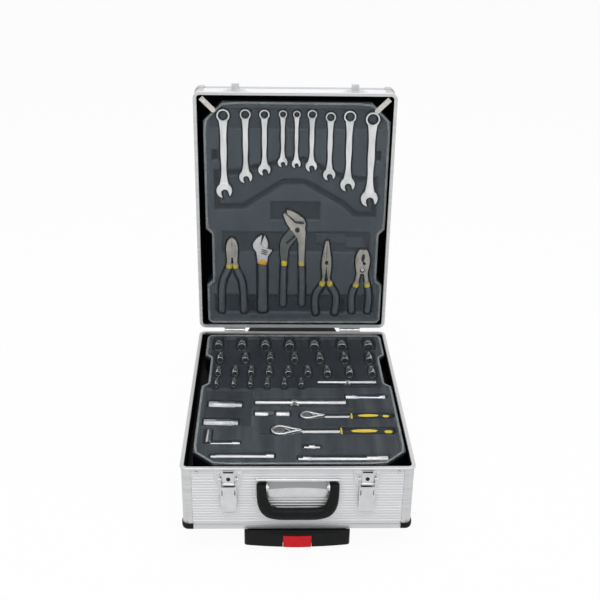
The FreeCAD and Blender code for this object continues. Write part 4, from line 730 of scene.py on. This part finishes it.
def lid_relief(u, v, edge):
    level = recessed(u, v, edge, LID_BORDER, LID_RECESSES, LID_SOFT)
    jaws = signed_distance(JAW_RECESS, u, v)
    groove = step(GROOVE_HALF - np.abs(jaws - GROOVE_IN), LID_SOFT)
    level = np.maximum(level, JAW_DEEP * step(jaws, LID_SOFT) + GROOVE_DEEP * groove)
    lift = sum(step(block_distance(u, v, *sides), LID_SOFT) for sides in RAISED_BLOCKS)
    return level - BLOCK_HIGH * lift * step(level - BLOCK_FROM, BLOCK_SOFT)


def base_relief(u, v, edge):
    return recessed(u, v, edge, BASE_BORDER, BASE_RECESSES, BASE_SOFT)


# Tools in the trays, the trays' skirts, and the rolled lips of their clear covers
LID_TOOLS = ("combination_wrenches", "pliers", "adjustable_wrench", "tool_grips")
BASE_TOOLS = ("sockets", "drive_bars", "ratchets", "ratchet_grips")
LID_SKIRT = 40.7
BASE_SKIRT = 29.0
LIP_INSET = 2.6
LIP_STOPS = (0.08, 0.5, 0.92)
LIP_LEVEL = 0.8
LIP_WIDE = 2.0
LIP_TALL = 0.8


def build_trays():
    formed_tray("lid_tray_formed", "lid_tray", LID_TOOLS,
                lid_uv, on_lid, True, LID_SKIRT, "lid", "grey_tray", lid_relief)
    formed_tray("base_tray_formed", "base_tray", BASE_TOOLS,
                base_uv, on_base, False, BASE_SKIRT, "base_tray", "dark_tray", base_relief)


def build_cover_lip(name, place, far_chamfer, body):
    outline = np.array(tray_outline(LIP_INSET, far_chamfer))
    line = []
    for a, b in zip(outline, np.roll(outline, -1, axis=0)):
        line += [place(*(a + (b - a) * t), LIP_LEVEL) for t in LIP_STOPS]
    lip = sweep(line, LIP_WIDE, LIP_TALL, outward(place), sides=10, closed=True)
    piece(name, lip, body, "clear_sheet", "cover_lip")


# Carry handle: one half of its path, points along it, and how its flat arms swell into the grip
HANDLE_HALF = [(-56.0, 121.8), (-55.6, 108.0), (-54.6, 98.5), (-50.0, 81.4), (-44.0, 74.0), (-33.0, 70.2)]
HANDLE_LOW = (0.0, 69.3)
HANDLE_POINTS = 121
HANDLE_SWELL = 30.0
ARM_WIDE = 7.3
ARM_DEEP = 5.7
ARM_Y = -5.4
GRIP_WIDER = 1.9
GRIP_DEEPER = 1.8
GRIP_FORWARD = 1.6


def build_handle():
    """Flat arms that hang from round eyes and swell into the grip."""
    path = HANDLE_HALF + [HANDLE_LOW] + [(-x, z) for x, z in reversed(HANDLE_HALF)]
    line = smooth_line(path, HANDLE_POINTS)
    k = np.arange(HANDLE_POINTS)
    grow = step(np.minimum(k, k[::-1]) / HANDLE_SWELL - 0.5, 1.0)
    places = [at(x, ARM_Y - GRIP_FORWARD * g, z) for (x, z), g in zip(line, grow)]
    wide = ARM_WIDE + GRIP_WIDER * grow
    deep = ARM_DEEP + GRIP_DEEPER * grow
    shape = sweep(places, wide, deep, (0, -1, 0), sides=32, power=2.7)
    o = piece("carry_handle_formed", shape, "carry_handle", "black_plastic", crease=MOULDED)
    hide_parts("carry_handle")


# Handle plate: the face that it shares with the latches, and a grey band of painted shade between its bead
# and its arch
FRONT_Y = 1.1
BAND_HALF = 45.5
BAND_LOW = 112.0
BAND_ARCH = 3.0
BAND_TOP = 123.2
BAND_SUNK = 0.1
BAND_PROUD = 0.15


def on_front(x, z, out):
    return at(x, FRONT_Y - out, z)


def build_handle_plate():
    arch = [(x, BAND_LOW - BAND_ARCH * (x / BAND_HALF) ** 2) for x in np.linspace(-BAND_HALF, BAND_HALF, 21)]
    outline = arch + [(BAND_HALF, BAND_TOP), (-BAND_HALF, BAND_TOP)]
    # A thin grey plate that paints the shade between the bead and the arch
    band = plate(outline, on_front, -BAND_SUNK, BAND_PROUD)
    piece("handle_plate_shade_band", band, "base", look="dull_steel", smooth=False)


# Latches: a black plate of painted shade behind each claw's slot
LATCH_X = 106.0
MOUTH_HALF = 7.8
MOUTH_Z = (139.7, 142.7)
MOUTH_SUNK = 0.02
MOUTH_PROUD = 0.18


def build_latch_slot_shades():
    for side, way in SIDES:
        left = way * LATCH_X - MOUTH_HALF
        right = way * LATCH_X + MOUTH_HALF
        low, high = MOUTH_Z
        outline = [(left, low), (right, low), (right, high), (left, high)]
        # A black plate that paints the shade in the claw's slot
        mouth = plate(outline, on_front, -MOUTH_SUNK, MOUTH_PROUD)
        piece(side + "_claw_slot_shade", mouth, side + "_claw", look="lock_steel", smooth=False)


# Tools in the lid: the middle of each, the level of their tops, and how details are let into them
CUTTER_U = -115.5
ADJUST_U = -58.4
PUMP_U = 6.9
LONG_NOSE_U = 63.5
SLIP_U = 132.0
TOOL_TOP = -1.2
DETAIL_SUNK = 0.2
DETAIL_PROUD = 0.06

# Pump pliers, measured from their pivot: the arm behind with its slot, and the mouth between the jaws; slot
# and mouth are dark plates of painted shade
PUMP_V = 193.0
PUMP_ARM_TOP = -6.2
PUMP_ARM = ((-13.2, -1.5), (-27.5, -19.2), (-30.9, -30.1), (-30.9, -46.9), (-28.3, -67.5), (-19.4, -67.5),
            (-17.4, -43.1), (-13.8, -34.5), (-2.1, -19.6), (4.0, -13.0))
PUMP_SLOT = ((-5.0, -11.0), (-2.5, -14.5), (-19.0, -30.5), (-22.0, -27.5))
PUMP_SLOT_PROUD = 0.1
PUMP_MOUTH = ((-18.5, 30.2), (-12.5, 25.5), (-5.0, 18.6), (1.0, 16.4), (12.6, 15.0), (12.2, 11.6),
              (4.0, 12.4), (-4.2, 14.2), (-13.0, 23.0))

# Pivots, slots and seams of the pliers, the slots as painted shade: u, v, half width, half height, turn
DARK_OVALS = (
    (LONG_NOSE_U, 127.0, 3.2, 4.4, 0.0),
    (PUMP_U, PUMP_V, 4.4, 5.2, 0.0),
    (SLIP_U + 0.6, 137.0, 3.4, 8.2, -0.1),
    (SLIP_U + 3.0, 126.0, 3.0, 4.0, 0.5),
    (SLIP_U, 111.6, 4.6, 5.0, 0.0),
    (CUTTER_U, 166.0, 0.5, 9.0, 0.0),
    (LONG_NOSE_U, 150.0, 0.5, 18.0, 0.0),
)
SLIP_RIVET_V = 112.6
SLIP_RIVET_R = (0.8, 3.3)
SLIP_RIVET_PROUD = 0.35

# Bars of the adjustable wrench's knurl: the first one, the step to the next, half sizes and turn
KNURL_BARS = 3
KNURL_FIRST = (-54.0, 151.8)
KNURL_STEP = (-0.6, -3.6)
KNURL_SIZE = (7.0, 1.1)
KNURL_TURN = -0.3
KNURL_PROUD = 0.08


def on_pump(points):
    return [(PUMP_U + x, PUMP_V + y) for x, y in points]


def detail(outline, proud=DETAIL_PROUD, level=TOOL_TOP):
    """A thin plate let into a tool of the lid."""
    return plate(outline, on_lid, level - DETAIL_SUNK, level + proud)


def build_tool_details():
    dark = [detail(oval(*size)) for size in DARK_OVALS]
    for k in range(KNURL_BARS):
        middle = [a + b * k for a, b in zip(KNURL_FIRST, KNURL_STEP)]
        dark.append(detail(oval(*middle, *KNURL_SIZE, KNURL_TURN), KNURL_PROUD))
    # Dark plates of painted shade in the pump pliers' slot and in the mouth between their jaws
    dark.append(plate(on_pump(PUMP_SLOT), on_lid, PUMP_ARM_TOP, PUMP_ARM_TOP + PUMP_SLOT_PROUD))
    dark.append(detail(on_pump(PUMP_MOUTH)))
    piece("tool_pivots_and_gap_shade", merged(dark), "lid", look="dark_steel", smooth=False)
    arm = detail(on_pump(PUMP_ARM), level=PUMP_ARM_TOP)
    piece("pump_plier_arm", arm, "lid", look="arm_steel", smooth=False)
    rivet = washer(SLIP_U, SLIP_RIVET_V, *SLIP_RIVET_R, on_lid, TOOL_TOP, TOOL_TOP + SLIP_RIVET_PROUD)
    piece("tool_rivets", rivet, "lid", look="tool_steel")


# Dipped grips in the lid: u, v of the collar, its lift, then each grip's path as distances across and down

def both(path):
    return path, tuple((-x, d) for x, d in path)


TOOL_GRIPS = (
    (CUTTER_U, 117.0, 5.5, *both(((6.1, 0.0), (9.0, 9.0), (16.0, 24.0), (20.5, 50.0), (21.5, 97.0)))),
    (LONG_NOSE_U, 83.0, 3.5, *both(((7.2, 0.0), (9.6, 7.0), (16.4, 18.0), (20.5, 40.0), (18.0, 67.0)))),
    (SLIP_U, 80.5, 3.0, ((10.4, 0.0), (14.0, 15.0), (15.0, 36.0), (13.0, 61.0)),
     ((-10.4, 0.0), (-16.5, 15.0), (-18.5, 36.0), (-17.0, 61.0))),
    (PUMP_U, 125.0, 3.5, ((8.8, 0.0), (10.5, 40.0), (10.5, 91.0)),
     ((-23.8, 0.0), (-25.5, 40.0), (-25.5, 91.0))),
)
GRIP_LEVEL = -6.8
GRIP_POINTS = 90
GRIP_R = 5.5
GRIP_FLAT = 0.96
GRIP_LEAN = 0.15
NECK_THINNER = 0.4
NECK_L = 16.0
TIP_L = 5.0
TIP_FLAT = 0.4

# Collars: length, how far the sleeve runs under them, how far they stand out and rise, and their eased ends
COLLAR_L = 8.5
COLLAR_LAP = 1.0
COLLAR_PROUD = 0.05
COLLAR_LIFT = 0.5
COLLAR_EASE = (0.8, 0.4)


def grip_shapes(u, v, lift, path):
    """The sleeve and the collar of one plier handle."""
    up = outward(on_lid)
    lean = (path[1][0] - path[0][0]) * GRIP_LEAN
    start = (u + path[0][0] - lean, v + lift)
    line = smooth_line([start] + [(u + x, v - d) for x, d in path], GRIP_POINTS)
    far = np.concatenate([[0], np.cumsum(np.linalg.norm(np.diff(line, axis=0), axis=1))])
    neck = np.cos(np.clip((far - COLLAR_L) / NECK_L, 0, 1) * math.pi / 2)
    radius = (GRIP_R - NECK_THINNER * neck) * round_end(far[-1] - far + TIP_FLAT, TIP_L)
    covered = far >= COLLAR_L - COLLAR_LAP
    places = [on_lid(a, b, GRIP_LEVEL) for a, b in line[covered]]
    sleeve = sweep(places, radius[covered], radius[covered] * GRIP_FLAT, up, power=2.3)
    ringed = far < COLLAR_L
    ring = np.full(ringed.sum(), GRIP_R + COLLAR_PROUD)
    ring[0] -= COLLAR_EASE[0]
    ring[-1] -= COLLAR_EASE[1]
    places = [on_lid(a, b, GRIP_LEVEL + COLLAR_LIFT) for a, b in line[ringed]]
    return sleeve, sweep(places, ring, ring, up, sides=28, power=2.4)


# Adjustable wrench: its sleeve from the top down to its tip, and the leaning collar with its half sizes
ADJUST_V = 128.5
SLEEVE_DROP = 4.0
SLEEVE_POINTS = 50
SLEEVE_END = 20.0
SLEEVE_TIP = 20.3
SLEEVE_TIP_L = 6.0
SLEEVE_WIDE = 7.8
SLEEVE_DEEP = 5.0
SLEEVE_FLARE = 1.0
SLEEVE_FLARE_L = 60.0
BAND_RISE = 4.6
BAND_L = 10.0
BAND_LEAN = 1.8
BAND_WIDE = (8.9, 9.3, 9.4, 9.4, 9.4, 9.4, 9.4, 9.0)
BAND_DEEP = (5.2, 5.6, 5.6, 5.6, 5.6, 5.6, 5.6, 5.3)


def adjust_sleeve():
    v = np.linspace(ADJUST_V - SLEEVE_DROP, SLEEVE_TIP, SLEEVE_POINTS)
    left = v - SLEEVE_END
    tip = round_end(left, SLEEVE_TIP_L)
    wide = (SLEEVE_WIDE + SLEEVE_FLARE * np.clip(1 - left / SLEEVE_FLARE_L, 0, 1)) * tip
    path = [on_lid(ADJUST_U, y, GRIP_LEVEL) for y in v]
    return sweep(path, wide, SLEEVE_DEEP * tip, outward(on_lid), sides=28, power=2.8)


def adjust_band():
    path = []
    for t in np.linspace(0, 1, len(BAND_WIDE)):
        u = ADJUST_U + BAND_LEAN * (0.5 - t)
        path.append(on_lid(u, ADJUST_V + BAND_RISE - BAND_L * t, GRIP_LEVEL + COLLAR_LIFT))
    return sweep(path, BAND_WIDE, BAND_DEEP, outward(on_lid), sides=28, power=2.8)


def build_grips():
    shapes = [grip_shapes(u, v, lift, path) for u, v, lift, *paths in TOOL_GRIPS for path in paths]
    sleeves, collars = zip(*shapes)
    dipped = merged([*sleeves, adjust_sleeve()])
    o = piece("tool_grips_dipped", dipped, "lid", "black_plastic", "grip_plastic", crease=MOULDED)
    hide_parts("tool_grips")
    piece("tool_collars", merged(collars), "lid", look="yellow_plastic", crease=MOULDED)
    piece("adjust_collar", adjust_band(), "lid", look="orange_plastic", crease=MOULDED)


# Ratchets: head, the grip's ends and half sizes, and the turn of its inlays with their spans along it
RATCHETS = (
    dict(head_u=19.0, head_r=11.5, grip_u=(92.0, 161.8), v=147.0, wide=7.0, tall=6.4,
         turn=0.35, long=(0.12, 0.66), short=(0.75, 0.92)),
    dict(head_u=-27.0, head_r=14.0, grip_u=(72.0, 160.8), v=101.0, wide=8.4, tall=7.0,
         turn=0.52, long=(0.14, 0.69), short=(0.79, 0.96)),
)
RATCHET_LEVEL = -7.6
RATCHET_TOP = -1.6
RATCHET_POINTS = 60
RATCHET_TIP_L = 6.0
RATCHET_TIP_FLAT = 0.3
WAIST = 0.80
SWELL_SHIFT = 1.15
SWELL_POWER = 0.8

# The yellow flange at the grip's start: distances along it with their share of its size, then its size
FLANGE = ((0.0, 0.84), (0.4, 1.0), (2.2, 1.0), (2.8, 0.84))
FLANGE_L = 3.0
FLANGE_WIDE = 1.7
FLANGE_ASIDE = 0.3
FLANGE_TALL = 6.9

# Inlays: half angle round the grip, further turn of the short one, height, and points along and across
INLAY_REACH = 0.50
INLAY_SHORT_TURN = 0.15
INLAY_PROUD = 0.35
INLAY_SUNK = 0.1
INLAY_ROWS = 28
INLAY_COLS = 9


def inlay(us, wide, tall, v, span, turn):
    """A long oval let into a grip, standing a little proud of it."""
    total = us[-1] - us[0]
    points = []
    for i in range(INLAY_ROWS + 1):
        s = -1 + 2 * i / INLAY_ROWS
        u = us[0] + total * ((span[0] + span[1]) / 2 + (span[1] - span[0]) / 2 * s)
        half = INLAY_REACH * math.sqrt(max(0.0, 1 - s * s))
        across = np.interp(u, us, wide)
        high = np.interp(u, us, tall)
        for k in range(INLAY_COLS):
            q = -1 + 2 * k / (INLAY_COLS - 1)
            a = turn + q * half
            rise = INLAY_PROUD * math.sqrt(max(0.0, 1 - max(abs(q), abs(s)) ** 6)) - INLAY_SUNK
            w = RATCHET_LEVEL + (high + rise) * math.cos(a)
            points.append(on_base(u, v - (across + rise) * math.sin(a), w))
    faces = grid_faces(INLAY_ROWS + 1, INLAY_COLS, round_cols=False)
    return points, [(a, d, c, b) for a, b, c, d in faces]


def ratchet_grip(grip_u, v, wide, tall, turn, long, short):
    """The black grip, and its yellow flange and inlays."""
    up = outward(on_base)
    us = np.linspace(grip_u[0] + FLANGE_L, grip_u[1], RATCHET_POINTS)
    t = (us - us[0]) / (us[-1] - us[0])
    swell = WAIST + (1 - WAIST) * np.sin(np.clip(t * SWELL_SHIFT, 0, 1) * math.pi) ** SWELL_POWER
    size = swell * round_end(us[-1] - us + RATCHET_TIP_FLAT, RATCHET_TIP_L)
    path = [on_base(u, v, RATCHET_LEVEL) for u in us]
    grip = sweep(path, wide * size, tall * size, up, sides=32, power=2.2)
    path = [on_base(grip_u[0] + d, v - wide * FLANGE_ASIDE, RATCHET_LEVEL) for d, _ in FLANGE]
    flange_wide = [wide * FLANGE_WIDE * share for _, share in FLANGE]
    flange_tall = [FLANGE_TALL * share for _, share in FLANGE]
    trim = [sweep(path, flange_wide, flange_tall, up, sides=32),
            inlay(us, wide * size, tall * size, v, long, turn),
            inlay(us, wide * size, tall * size, v, short, turn + INLAY_SHORT_TURN)]
    return grip, trim


# Ratchet heads: the rim, the dark inset in it, and a selector's ring and lever in shares of the head's radius
RIM_HALF = 2.5
RIM_TALL = 1.1
RIM_RISE = 0.2
HEAD_LONG = 2.75
HEAD_TAPER = 0.25
HEAD_BULGE = 0.18
INSET_LAP = 0.3
INSET_DEEP = 2.2
INSET_RISE = 0.55
RING_BACK = 0.15
RING_R = (0.16, 0.30)
RING_RISE = 0.95
LEVER_PATH = ((0.62, 0.3), (0.9, 0.0), (1.2, -0.2))
LEVER_WIDE = (1.2, 1.6, 1.2)
LEVER_TALL = 0.4
LEVER_RISE = 0.8


def pear(u, v, radius, inset):
    """Outline of a ratchet's head: round on the left, drawn out to the shank."""
    r = radius - inset
    left = [(u + r * math.cos(a), v + r * math.sin(a)) for a in np.linspace(math.pi / 2, 3 * math.pi / 2, 21)]
    long = radius * HEAD_LONG - inset * 2.0
    right = []
    for t in np.linspace(0, 1, 22)[1:-1]:
        half = (1 - t * t * (3 - 2 * t)) * (1 - HEAD_TAPER * t) + HEAD_BULGE * t * (1 - t ** 8)
        right.append((u + long * t, v - r * half))
    return left + right + [(u + long, v)] + [(x, 2 * v - y) for x, y in reversed(right)]


def ratchet_head(u, r, v):
    """The dark inset, and the bright rim, ring and lever."""
    up = outward(on_base)
    hollow = pear(u, v, r, 2 * RIM_HALF - INSET_LAP)
    inset = plate(hollow, on_base, RATCHET_TOP - INSET_DEEP, RATCHET_TOP + INSET_RISE)
    path = [on_base(x, y, RATCHET_TOP + RIM_RISE) for x, y in pear(u, v, r, RIM_HALF)]
    rim = sweep(path, RIM_HALF, RIM_TALL, up, sides=14, closed=True)
    inner, outer = (r * share for share in RING_R)
    ring = washer(u - r * RING_BACK, v, inner, outer, on_base, RATCHET_TOP, RATCHET_TOP + RING_RISE)
    path = [on_base(u + r * s, v + r * d, RATCHET_TOP + LEVER_RISE) for s, d in LEVER_PATH]
    return inset, [rim, ring, sweep(path, LEVER_WIDE, LEVER_TALL, up, sides=12)]


def ratchet(head_u, head_r, v, **grip):
    return *ratchet_grip(v=v, **grip), *ratchet_head(head_u, head_r, v)


def build_ratchets():
    grips, trims, insets, metals = zip(*[ratchet(**size) for size in RATCHETS])
    o = piece("ratchet_grips_moulded", merged(grips), "base_tray", "black_plastic", crease=MOULDED)
    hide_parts("ratchet_grips")
    piece("ratchet_trim", merged(sum(trims, [])), "base_tray", look="yellow_plastic", crease=MOULDED)
    piece("ratchet_insets", merged(insets), "base_tray", look="dark_steel", smooth=False)
    piece("ratchet_selectors", merged(sum(metals, [])), "base_tray", look="tool_steel")


# Sockets: v of each row's mouths, radius at its left and right end, then u of each socket
SOCKET_ROWS = ((402.0, 8.6, 10.2, (-141.7, -97.4, -52.6, -5.9, 41.9, 94.3, 145.5)),
               (346.0, 6.2, 7.6, (-135.9, -89.2, -42.9, 2.5, 49.9, 96.2, 142.2)),
               (293.5, 5.6, 7.2, (-137.1, -106.6, -77.4, -44.8, -10.0, 25.5, 60.9, 101.1, 142.4)),
               (250.0, 3.9, 4.4, (-138.0, -107.3, -78.0, -48.3, -17.8, 12.1)))
SOCKET_TOP = -0.6

# Profiles of the mouths' discs of painted shade and of the lips: share of the socket's radius, distance
# behind the mouth
MOUTH_PROFILE = ((0.74, 0.1), (0.70, 0.6))
MOUTH_MIDDLE = (0.01, 0.7)
LIP_PROFILE = ((0.74, 0.3), (0.78, -0.25), (0.92, -0.25), (0.99, 0.3))


def build_socket_mouth_shades():
    """A black disc of painted shade in each socket's mouth, and a lip in brighter steel than the socket,
    partly a painted glint.
    """
    mouths = []
    lips = []
    back = on_base(0, 1, 0) - on_base(0, 0, 0)
    for v, first, last, places in SOCKET_ROWS:
        for u, r in zip(places, np.linspace(first, last, len(places))):
            origin = on_base(u, v, SOCKET_TOP - r)
            mouth = [(r * q, d) for q, d in MOUTH_PROFILE] + [MOUTH_MIDDLE]
            mouths.append(lathe(mouth, origin, back, sides=24))
            lips.append(lathe([(r * q, d) for q, d in LIP_PROFILE], origin, back, sides=32))
    piece("socket_mouth_shades", merged(mouths), "base_tray", look="lock_steel", smooth=False)
    # The lips, in brighter steel than the sockets' chrome, are partly a painted glint
    piece("socket_lip_glints", merged(lips), "base_tray", look="tool_steel")


# Ball corners under the base: the case's faces, the cap's heights, its bend in plan, its legs and round edge
CAP_X = 179.8
CAP_FRONT = 0.2
CAP_BACK = 459.8
CAP_LOW = 32.4
CAP_HIGH = 44.0
CAP_BEND = 10.8
CAP_LEG = 18.0
CAP_ROUND = 5.5
CAP_ROUND_STEPS = 8
CAP_BEND_POINTS = 13
CAP_UNDER = 0.3
CAP_CREASE = 50.0
CAP_TOP = ((3.0, 0.0), (0.9, 0.0), (0.25, 0.25), (0.0, 0.9))


def cap_profile():
    """Inset and height from the cap's top, down its face, round its lower edge and in under it."""
    points = [(inset, CAP_HIGH - drop) for inset, drop in CAP_TOP]
    for k in range(CAP_ROUND_STEPS + 1):
        t = math.radians(90 * k / CAP_ROUND_STEPS)
        points.append((CAP_ROUND * (1 - math.cos(t)), CAP_LOW + CAP_ROUND * (1 - math.sin(t))))
    return points + [(CAP_BEND - CAP_UNDER, CAP_LOW)]


def cap_plan(inset):
    """The cap's edge in plan, measured in from the corner."""
    r = CAP_BEND - inset
    angles = np.linspace(0, math.pi / 2, CAP_BEND_POINTS)
    arc = [(CAP_BEND - r * math.cos(a), CAP_BEND - r * math.sin(a)) for a in angles]
    return [(inset, CAP_LEG)] + arc + [(CAP_LEG, inset)]


def corner_cap(sx, y, sy):
    rows = [[at(sx * (CAP_X - a), y + sy * b, z) for a, b in cap_plan(inset)] for inset, z in cap_profile()]
    cols = len(rows[0])
    faces = grid_faces(len(rows), cols, round_cols=False)
    if sx * sy < 0:
        faces = [face[::-1] for face in faces]
    faces.append(tuple(i * cols for i in range(len(rows))))
    faces.append(tuple(i * cols + cols - 1 for i in range(len(rows))))
    return [p for row in rows for p in row], faces


def build_corner_caps():
    caps = [corner_cap(sx, y, sy) for _, sx in SIDES for y, sy in ((CAP_FRONT, 1), (CAP_BACK, -1))]
    o = piece("base_ball_corners", merged(caps), "base", "black_plastic", crease=CAP_CREASE)
    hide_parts("base_corner_caps")


# Wheels: middle of the axle, then radius and place of half the tyre's and half the hub's section
WHEEL_X = 142.0
WHEEL_Y = 488.0
WHEEL_Z = 25.0
TYRE_HALF = [(17.0, -9.8), (19.0, -10.0), (22.6, -10.0), (24.2, -9.0), (25.0, -7.2), (25.0, -4.2),
             (24.2, -3.8), (24.2, -3.0), (25.0, -2.6)]
HUB_HALF = [(16.9, -9.4), (15.2, -9.8), (14.0, -9.4), (13.4, -6.0), (8.2, -6.0), (7.6, -9.0), (6.8, -9.8),
            (4.2, -9.8)]
AXLE = (1, 0, 0)

# Spokes on both faces of the hub: radius and distance from the middle at foot and head, half sizes
SPOKES = 6
SPOKE_FOOT = (7.4, 7.0)
SPOKE_HEAD = (13.9, 7.6)
SPOKE_WIDE = 1.4
SPOKE_TALL = 1.6


def ring_section(half):
    """A closed section from its left half."""
    return half + [(r, -x) for r, x in reversed(half)] + [half[0]]


def spoke(centre, angle, face):
    ends = [centre + Vector((face * x, r * math.cos(angle), r * math.sin(angle))) / METRE
            for r, x in (SPOKE_FOOT, SPOKE_HEAD)]
    line = [ends[0], (ends[0] + ends[1]) / 2, ends[1]]
    return sweep(line, SPOKE_WIDE, SPOKE_TALL, AXLE, sides=12, power=3.0)


def build_wheels():
    for side, way in SIDES:
        centre = at(way * WHEEL_X, WHEEL_Y, WHEEL_Z)
        tread = lathe(ring_section(TYRE_HALF), centre, AXLE, sides=64)
        tyre = piece(side + "_tyre", tread, side + "_wheel", "rubber")
        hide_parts(side + "_wheel")
        hub = [lathe(ring_section(HUB_HALF), centre, AXLE, sides=64)]
        hub += [spoke(centre, 2 * math.pi * k / SPOKES, face) for k in range(SPOKES) for face in (-1, 1)]
        piece(side + "_hub", merged(hub), side + "_wheel", "black_plastic")


# Floor and sky: corners in metres, grey, share of plain white, then the sky's level from low to high
FLOOR_CORNERS = ((-6, -6, 0), (6, -6, 0), (6, 8, 0), (-6, 8, 0))
FLOOR_GREY = 0.93
FLOOR_ROUGH = 0.9
FLOOR_GLOW = 0.94
WHITE = (1, 1, 1, 1)
SKY_SPAN = (0.1, 0.9)
SKY_LEVEL = (0.24, 0.7)

# Lamps: place, aim, size in metres, power in watts
LAMPS = (("key", (-0.7, -1.1, 2.6), (0, 0, 0.2), 3.0, 27),
         ("fill", (1.5, -1.7, 1.7), (0, 0, 0.2), 2.4, 8),
         ("top", (0.2, 0.1, 2.6), (0, 0, 0.1), 2.4, 13))


def seen_rays(tree):
    """1 for rays from the camera and for those that metal or glass sends on."""
    path = node(tree, "ShaderNodeLightPath")
    total = path.outputs["Is Camera Ray"]
    for name in ("Is Glossy Ray", "Is Transmission Ray"):
        most = node(tree, "ShaderNodeMath", operation="MAXIMUM")
        tree.links.new(total, most.inputs[0])
        tree.links.new(path.outputs[name], most.inputs[1])
        total = most.outputs[0]
    return total


def floor_material():
    """A pale matt floor that looks nearly white, and keeps a soft shadow."""
    material, tree, shader = new_material("floor")
    set_inputs(shader, {"Base Color": (FLOOR_GREY, FLOOR_GREY, FLOOR_GREY, 1), "Roughness": FLOOR_ROUGH,
                        "Specular IOR Level": 0.0})
    glow = node(tree, "ShaderNodeEmission")
    set_inputs(glow, {"Color": WHITE, "Strength": 1.0})
    share = node(tree, "ShaderNodeMath", operation="MULTIPLY")
    tree.links.new(seen_rays(tree), share.inputs[0])
    share.inputs[1].default_value = FLOOR_GLOW
    blend = node(tree, "ShaderNodeMixShader")
    tree.links.new(share.outputs[0], blend.inputs["Fac"])
    tree.links.new(shader.outputs["BSDF"], blend.inputs[1])
    tree.links.new(glow.outputs["Emission"], blend.inputs[2])
    tree.links.new(blend.outputs["Shader"], tree.nodes["Material Output"].inputs["Surface"])
    return material


def build_floor():
    mesh = bpy.data.meshes.new("floor")
    mesh.from_pydata(FLOOR_CORNERS, [], [(0, 1, 2, 3)])
    mesh.materials.append(floor_material())
    floor = add_object("floor", mesh)


def build_sky():
    """A sky that grows brighter overhead, and looks plain white."""
    world = bpy.data.worlds.new("studio")
    bpy.context.scene.world = world
    world.use_nodes = True
    tree = world.node_tree
    back = tree.nodes["Background"]
    set_inputs(back, {"Color": WHITE})
    way = node(tree, "ShaderNodeSeparateXYZ")
    tree.links.new(node(tree, "ShaderNodeTexCoord").outputs["Generated"], way.inputs["Vector"])
    level = map_range(tree, way.outputs["Z"], SKY_SPAN, SKY_LEVEL, interpolation_type="SMOOTHSTEP")
    seen = node(tree, "ShaderNodeMix")
    tree.links.new(seen_rays(tree), seen.inputs["Factor"])
    tree.links.new(level, seen.inputs["A"])
    set_inputs(seen, {"B": 1.0})
    tree.links.new(seen.outputs["Result"], back.inputs["Strength"])


def build_lamps():
    for name, place, aim, size, power in LAMPS:
        data = bpy.data.lights.new(name, "AREA")
        data.size = size
        data.energy = power
        lamp = add_object(name, data)
        lamp.location = place
        lamp.rotation_euler = (Vector(aim) - Vector(place)).to_track_quat("-Z", "Y").to_euler()


# Camera, as fitted to the photograph: angles in degrees, place in metres, sensor and lens in millimetres
CAMERA_YAW = 1.95
CAMERA_PITCH = 24.95
CAMERA_ROLL = 1.0
CAMERA_PLACE = (-0.04295, -1.45747, 0.99036)
CAMERA_SENSOR = 36.0
CAMERA_LENS = 57.5


def build_camera():
    yaw = math.radians(CAMERA_YAW)
    pitch = math.radians(CAMERA_PITCH)
    roll = math.radians(CAMERA_ROLL)
    ahead = Vector((math.sin(yaw) * math.cos(pitch), math.cos(yaw) * math.cos(pitch), -math.sin(pitch)))
    right = Vector((math.cos(yaw), -math.sin(yaw), 0))
    up = right.cross(ahead)
    x = right * math.cos(roll) + up * math.sin(roll)
    y = up * math.cos(roll) - right * math.sin(roll)
    data = bpy.data.cameras.new("camera")
    data.sensor_width = CAMERA_SENSOR
    data.lens = CAMERA_LENS
    camera = add_object("camera", data)
    camera.matrix_world = Matrix.Translation(CAMERA_PLACE) @ Matrix((x, y, -ahead)).transposed().to_4x4()
    bpy.context.scene.camera = camera
    bpy.context.scene.view_settings.view_transform = "Standard"


dress_nodes()
ease_edges()
build_trays()
build_cover_lip("lid_cover_lip", on_lid, True, "lid")
build_cover_lip("base_cover_lip", on_base, False, "base_tray")
build_handle()
build_handle_plate()
build_grips()
build_ratchets()
build_latch_slot_shades()
build_tool_details()
build_socket_mouth_shades()
build_corner_caps()
build_wheels()
build_floor()
build_sky()
build_lamps()
build_camera()
